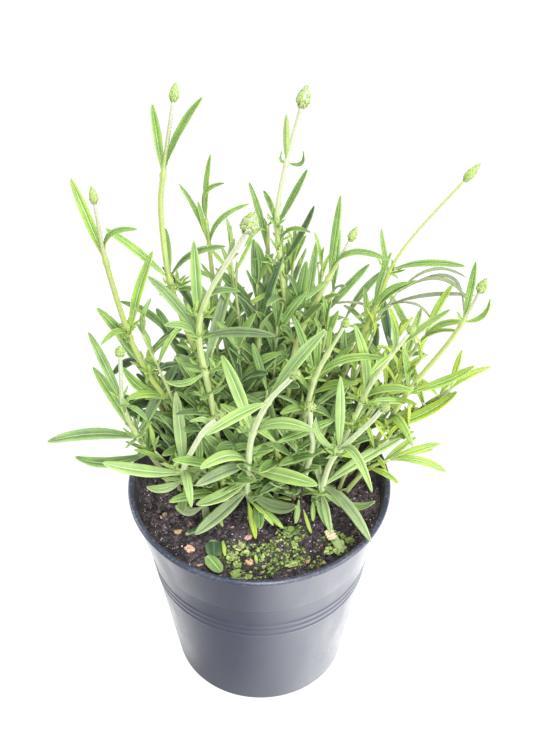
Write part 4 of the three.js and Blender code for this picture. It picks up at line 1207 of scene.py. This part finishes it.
# Pairs of leaves at even steps along a shoot's path, each pair crossing the last.
def addShoot(bag, path, number, first, gap, size, rise, narrow, tone, felt, fine, values=growthValues):
    centres = addStem(bag, path, 0.6, [], 0.3, baseRadius=1.1)
    steps = reachAlong(centres)
    joints = max(int(steps[-1] * (1 - first) / gap), 1)
    for k in range(joints):
        share = first + (1 - first) * (k + 1) / joints
        root = centres[np.argmin(np.abs(steps - share * steps[-1]))]
        late = (k + 1) / joints
        for half in range(2):
            seed = 5000 + number * 31.7 + k * 2.3 + half
            leaf = newLeaf(number * 57 + k * 90 + half * 180 + 20 * drawOne(seed),
                           rise - 14 + 34 * late + 14 * drawOne(seed + 0.1),
                           size * (1.12 - 0.45 * late) * (1 + 0.2 * drawOne(seed + 0.2)),
                           1.6 + 1.8 * drawOne(seed + 0.3), seed, leafValues["shootTurn"], narrow)
            tip = root + wayOf(leaf["heading"], leaf["rise"]) * leaf["length"]
            inCompost = tip[2] < soilValues["level"] + 2
            inRim = math.hypot(tip[0], tip[1]) > values["rimReach"] and tip[2] < values["rimClear"]
            if inCompost or inRim:
                continue
            addLeaf(bag, leaf, root, root, tone + 0.14 * late, stations=10, fine=fine, felt=felt)


# Low shoots stand on a spiral of even steps round the middle, then the tall ones where their table says.
def makeGrowth(values, tall):
    bag = newBag()
    aside, higher = values["scatter"]
    for number in range(values["count"]):
        turn = number * goldenTurn
        away = math.sqrt((number + 0.5) / values["count"])
        (midX, midY), (wide, deep) = values["centre"], values["spread"]
        x = midX + wide * away * math.cos(turn) + aside * drawOne(number)
        y = midY + deep * away * math.sin(turn) + aside * drawOne(number + 0.2)
        small, large = values["height"]
        height = large + (small - large) * away ** 1.5 + higher * drawOne(number + 0.4)
        lean = values["lean"] * (away * np.array([math.cos(turn), math.sin(turn)])
                                 + 0.4 * np.array([drawOne(number + 0.6), drawOne(number + 0.7)]))
        foot = np.array([x, y, soilValues["edgeLevel"]])
        bend = (*(lean * 0.35 * height), 0.55 * height)
        path = foot + np.array([(0, 0, 0), bend, (*(lean * height), height)])
        # painted shade at the back and painted light at the front of the bush
        front = float(np.clip((20 - y) / 40, 0, 1))
        tone = values["tones"][0] + (values["tones"][1] - values["tones"][0]) * front
        addShoot(bag, path, number, 0.05, values["gap"], values["leaf"], 30, values["slim"], tone, 0.1,
                 y < 8)
    makePiece("inner_growth", bag, [leafMaterial, stemMaterial])
    bag = newBag()
    for number, (foot, tip, first, size, rise, narrow, tone) in enumerate(tall):
        foot, tip = np.array([*foot, soilValues["edgeLevel"]]), np.array(tip, float)
        bend = np.array([0.3, 0.3, 0.5]) * (tip - foot)
        addShoot(bag, np.array([foot, foot + bend, tip]), 100 + number, first, values["tallGap"],
                 size, rise, narrow, tone, 0.05, False)
    makePiece("tall_shoots", bag, [leafMaterial, stemMaterial])


makeGrowth(growthValues, tallShoots)

# Low leaves over the compost: root, tip, width, tone, bow.
lowLeaves = [
    ((-5.7, -11.3, 117), (-2.1, -30.4, 111.5), 3.6, 1.0, 1),
    ((-4.7, -11.5, 118), (6.7, -22.9, 112.5), 3.4, 0.86, 2),
    ((0.6, -14.4, 116), (11.5, -24.4, 112), 3.2, 0.8, 1),
    ((-20.9, -15.4, 117), (-18, -22.9, 112), 2.2, 0.85, 0),
    ((19.3, -11.2, 118), (17.5, -21.3, 112), 3.2, 0.62, 0),
    ((21.5, -16, 116), (25, -27.4, 111.5), 2.2, 0.9, 0),
    ((26.2, -11.3, 118), (26, -20, 112), 2.6, 0.72, 0),
    ((-27.5, -10.5, 118), (-25.4, -20.6, 111.5), 4, 0.3, 0),
    ((27.5, -11, 119), (35.5, -26.7, 111.2), 5, 0.55, 0),
    ((18.3, -9.4, 121), (3.7, -3.4, 119), 6.5, 0.5, 2),
    ((-1.2, -7.8, 119), (18.3, -14.7, 117), 5, 0.55, -2),
    ((39.3, -8.9, 122), (45.2, -15.9, 114), 3, 0.7, 1),
    ((-28.5, -13, 116), (-41.5, -11.5, 115.5), 5.2, 0.15, -4),
    ((-30.5, 2, 120), (-38, -4, 118), 3.4, 0.2, 2),
    ((-30, -8, 118), (-42, -19, 129), 3.6, 0.56, 1),
    ((-14, -10, 118), (-22, -23, 130), 3.8, 0.72, 1),
    ((-6, -8, 120), (1, -21, 133), 3.6, 0.78, -1),
    ((8, -10, 118), (15, -23, 131), 3.6, 0.82, 1),
    ((22, -8, 119), (31, -21, 132), 3.4, 0.74, 1),
    ((30, -6, 119), (42, -15, 130), 3.2, 0.66, -1),
    ((-22, -6, 120), (-33, -15, 134), 3.4, 0.66, 1),
    ((14, -4, 120), (5, -15, 135), 3.4, 0.7, -1),
]


# Blades from the table, arched by their bow, the darker ones more felted.
def makeLowLeaves(table):
    bag = newBag()
    for number, (root, tip, width, tone, bow) in enumerate(table):
        root, tip = np.array(root, float), np.array(tip, float)
        _, side, up = bladeFrame(root, tip)
        addBlade(bag, root, (root + tip) / 2 + up * 2 * bow, tip, side, 0.25 * drawOne(number),
                 width / 2, tone, cup=-0.1, ripple=0.15, felt=0.9 - 0.9 * tone, seed=number)
    low = makePiece("low_leaves", bag, [leafMaterial])


makeLowLeaves(lowLeaves)
print("inner growth made")

liverwortMaterial = makeLeafMaterial(liverwortLook, "liverwort")
makeLitter(litterValues)

# Old leaves lying on the compost, and a dry twig: root, tip, width, tone, felt.
fallenLeaves = [
    ((-25.5, -40.4, 111), (-18.6, -50.4, 110.9), 6.8, 0.5, 0),
    ((-22.5, -30.5, 111.2), (-22, -41, 110.8), 8, 0.0, 0),
    ((33, -24, 110.5), (40, -39, 110.8), 4.6, 0.5, 0.7),
    ((-36, -26, 110.6), (-28, -22, 111.2), 3, 0.1, 0),
    ((-17.9, -31.4, 111.6), (-16.8, -40.9, 111.4), 1.9, 0.9, 0.2),
    ((-1.7, -45, 110.6), (-2.4, -42.6, 114.6), 1.7, 0.8, 0),
    ((0.8, -44, 110.6), (1.6, -42, 115), 1.4, 0.8, 0),
]
# The brown cut end of one low leaf.
cutEnd = {"root": (33.2, -29.8, 116.6), "tip": (35.0, -34.4, 115.4), "width": 5.4,
          "colour": (0.5, 0.4, 0.26)}
twigValues = {"path": [(21.5, -18.5, 109), (20.5, -15, 116), (20.5, -11, 122), (21.5, -7, 127)],
              "radius": 0.55, "colour": (0.035, 0.03, 0.028)}


# The cut end is a short blunt blade. The twig is a thin bare stem.
def makeFallen(leaves, cut, twig):
    bag = newBag()
    root, tip = np.array(cut["root"], float), np.array(cut["tip"], float)
    _, side, _ = bladeFrame(root, tip)
    addBlade(bag, root, (root + tip) / 2, tip, side, 0.2, cut["width"] / 2, 0, root=0.9, belly=0.3,
             blunt=9.0, shoulder=0.8, ripple=0.9, slot=1)
    bag["paint"][0][:] = (*cut["colour"], 1.0)
    for number, (root, tip, width, tone, felt) in enumerate(leaves):
        root, tip = np.array(root, float), np.array(tip, float)
        _, side, up = bladeFrame(root, tip)
        addBlade(bag, root, (root + tip) / 2 + up * 1.2, tip, side, 0.1 * drawOne(number), width / 2,
                 tone, felt=felt, cup=-0.15, root=0.5, belly=0.35, ripple=0.2, seed=number)
    straw = makePaintedMaterial("straw", 0.8, 1.0, 0.6)
    makePiece("fallen_leaves", bag, [leafMaterial, straw])
    dry = newBag()
    addStem(dry, np.array(twig["path"], float), twig["radius"], [], 0, baseRadius=twig["radius"], slot=0)
    dry["paint"] = [np.tile((*twig["colour"], 1.0), (dry["count"], 1))]
    makePiece("dry_twig", dry, [makePaintedMaterial("twig", 0.8, 1.0, 0.6)])


makeFallen(fallenLeaves, cutEnd, twigValues)
print("litter made")

budValues = {
    "rows": 6,
    "around": 4,
    "core": (0.8, 0.97),  # its width and length beside the bud's
    "bracts": (0.62, 0.4),  # where the last row starts, and a bract's length, as shares of the bud's
    "places": [0, 0.1, 0.3, 0.5, 0.75, 0.9, 1],  # share of the length, and how wide the bud is there
    "swells": [0.42, 0.7, 0.84, 0.78, 0.46, 0.24, 0.06],
    "lilac": {"stem_c": 0.75, "stem_d": 0.8},
    "size": {"stem_d": (1.2, 1.15), "stem_f": (1.08, 0.82), "stem_b": (1.05, 0.95)},  # beside the table's
    "lean": {"stem_d": (-0.1, 0, 0.25)},
}


# Bud: a pointed core under rows of overlapping bracts. Each bract is a short pointed blade that
# follows the bud's outline, its face outwards.
def makeBud(stem, index, values):
    length, radius = np.array(stem["bud"]) * values["size"].get(stem["name"], (1, 1))
    path = np.array(stem["path"], float)
    way = unit(unit(path[-1] - path[-2]) + values["lean"].get(stem["name"], (0, 0, 0)))
    side = unit(np.array([1.0, 0, 0]) - way * way[0])
    front = np.cross(way, side)
    foot = path[-1]
    wide = lambda share: radius * float(np.interp(share, values["places"], values["swells"]))
    bag = newBag()
    s = np.linspace(0, 1, 12)[:-1]
    coreWide, coreLong = values["core"]
    swell = coreWide * radius * np.interp(s, values["places"], values["swells"])
    phi = np.arange(12) / 12 * 2 * math.pi
    core = ringsRound(foot + way * (s * length * coreLong)[:, None], side, front, swell[:, None], phi)
    paint = np.zeros((*core.shape[:2], 4))
    addSkin(bag, core, paint, (foot - way * 0.3, foot + way * length * coreLong))
    lastRow, long = values["bracts"]
    for row in range(values["rows"]):
        start = lastRow * row / (values["rows"] - 1)
        for k in range(values["around"]):
            seed = index * 91.3 + row * 7.7 + k
            turn = (k + 0.5 * (row % 2)) / values["around"] * 2 * math.pi + 0.12 * drawOne(seed)
            out = side * math.cos(turn) + front * math.sin(turn)
            beside = front * math.cos(turn) - side * math.sin(turn)
            end = min(start + long + 0.04 * drawOne(seed + 0.3), 1.0)
            half = (start + end) / 2
            base = foot + way * start * length + out * wide(start) * 0.72
            tip = foot + way * (end * length + 0.2) + out * (wide(end) * 0.98 + 0.1)
            centre = foot + way * half * length + out * wide(half)
            middle = 2 * centre - (base + tip) / 2
            addBlade(bag, base, middle, tip, -beside, 0.0, wide(half) * 0.78,
                     values["lilac"].get(stem["name"], 0.05), stations=8, fine=False, cup=-0.3, belly=0.4,
                     shoulder=0.35, blunt=1.3, root=0.55, thick=0.32, seed=seed)
    bud = makePiece("flower_" + stem["name"].replace("stem", "bud"), bag, [budMaterial])
    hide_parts(stem["name"].replace("stem", "bud"))


for number, stem in enumerate(plant):
    if "bud" in stem:
        makeBud(stem, number, budValues)
print("buds made")

floorValues = {
    "size": 3.0,
    "colour": (0.05, 0.05, 0.05),
    "seen": 1.0,
    "fill": 0.7,
    "glow": (0.48, 3.15),  # what glossy surfaces mirror, at the left and at the right
    "glowFrom": (-0.029, 0.056),
    "leftGlow": 1.4,  # added at the left, behind
}
lightValues = {
    "sky": 0.4,
    "lamps": {  # power, place, width, height, all looking at the plant
        "top": (40, (0.15, -0.6, 2.1), 0.8, 0.8),
        "front": (46, (0.25, -1.7, 1.15), 0.8, 0.8),
        "right": (20, (1.35, -0.6, 0.9), 0.6, 0.6),
        "leftBehind": (14, (-1.35, 0.6, 0.9), 0.6, 0.6),
    },
}


# A plain floor whose light depends on the ray: even white for the camera, softer for what it lights,
# and a glow that only glossy surfaces mirror.
def makeFloor(values):
    half = values["size"]
    mesh = bpy.data.meshes.new("floor")
    mesh.from_pydata([(-half, -half, 0), (half, -half, 0), (half, half, 0), (-half, half, 0)], [],
                     [(0, 1, 2, 3)])
    material, tree, shader = newMaterial("floorWhite", 0.8)
    shader.inputs["Base Color"].default_value = (*values["colour"], 1)
    shader.inputs["Emission Color"].default_value = (1, 1, 1, 1)
    place = addNode(tree, "ShaderNodeTexCoord").outputs["Object"]
    across, away, _ = addNode(tree, "ShaderNodeSeparateXYZ", {0: place}).outputs
    glow = addRange(tree, across, *values["glowFrom"], *values["glow"])
    behind = addRange(tree, away, -0.055, -0.015)
    left = addRange(tree, across, -0.034, -0.058, 0.0, values["leftGlow"])
    glow = plus(tree, glow, times(tree, left, behind))
    ray = addNode(tree, "ShaderNodeLightPath").outputs
    more = times(tree, addMath(tree, "SUBTRACT", glow, values["fill"]), ray["Is Glossy Ray"])
    less = times(tree, values["seen"] - values["fill"], ray["Is Camera Ray"])
    strength = plus(tree, plus(tree, more, less), values["fill"])
    tree.links.new(strength, shader.inputs["Emission Strength"])
    mesh.materials.append(material)
    floor = bpy.data.objects.new("floor", mesh)
    bpy.context.scene.collection.objects.link(floor)
    floor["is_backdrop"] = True


def makeLamp(name, power, place, width, height, target=(0, 0, 0.14)):
    data = bpy.data.lights.new(name, "AREA")
    data.energy, data.shape, data.size, data.size_y = power, "RECTANGLE", width, height
    lamp = bpy.data.objects.new(name, data)
    bpy.context.scene.collection.objects.link(lamp)
    lamp.location = place
    lamp.rotation_euler = (Vector(target) - Vector(place)).to_track_quat("-Z", "Y").to_euler()


def makeStudio(values):
    world = bpy.data.worlds.new("studio")
    world.use_nodes = True
    world.node_tree.nodes["Background"].inputs[0].default_value = (1, 1, 1, 1)
    world.node_tree.nodes["Background"].inputs[1].default_value = values["sky"]
    bpy.context.scene.world = world
    bpy.context.scene.view_settings.view_transform = "Standard"
    for name, lamp in values["lamps"].items():
        makeLamp(name, *lamp)


makeFloor(floorValues)
makeStudio(lightValues)
print("floor and light set")

visualBox = [list(corner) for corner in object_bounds()]
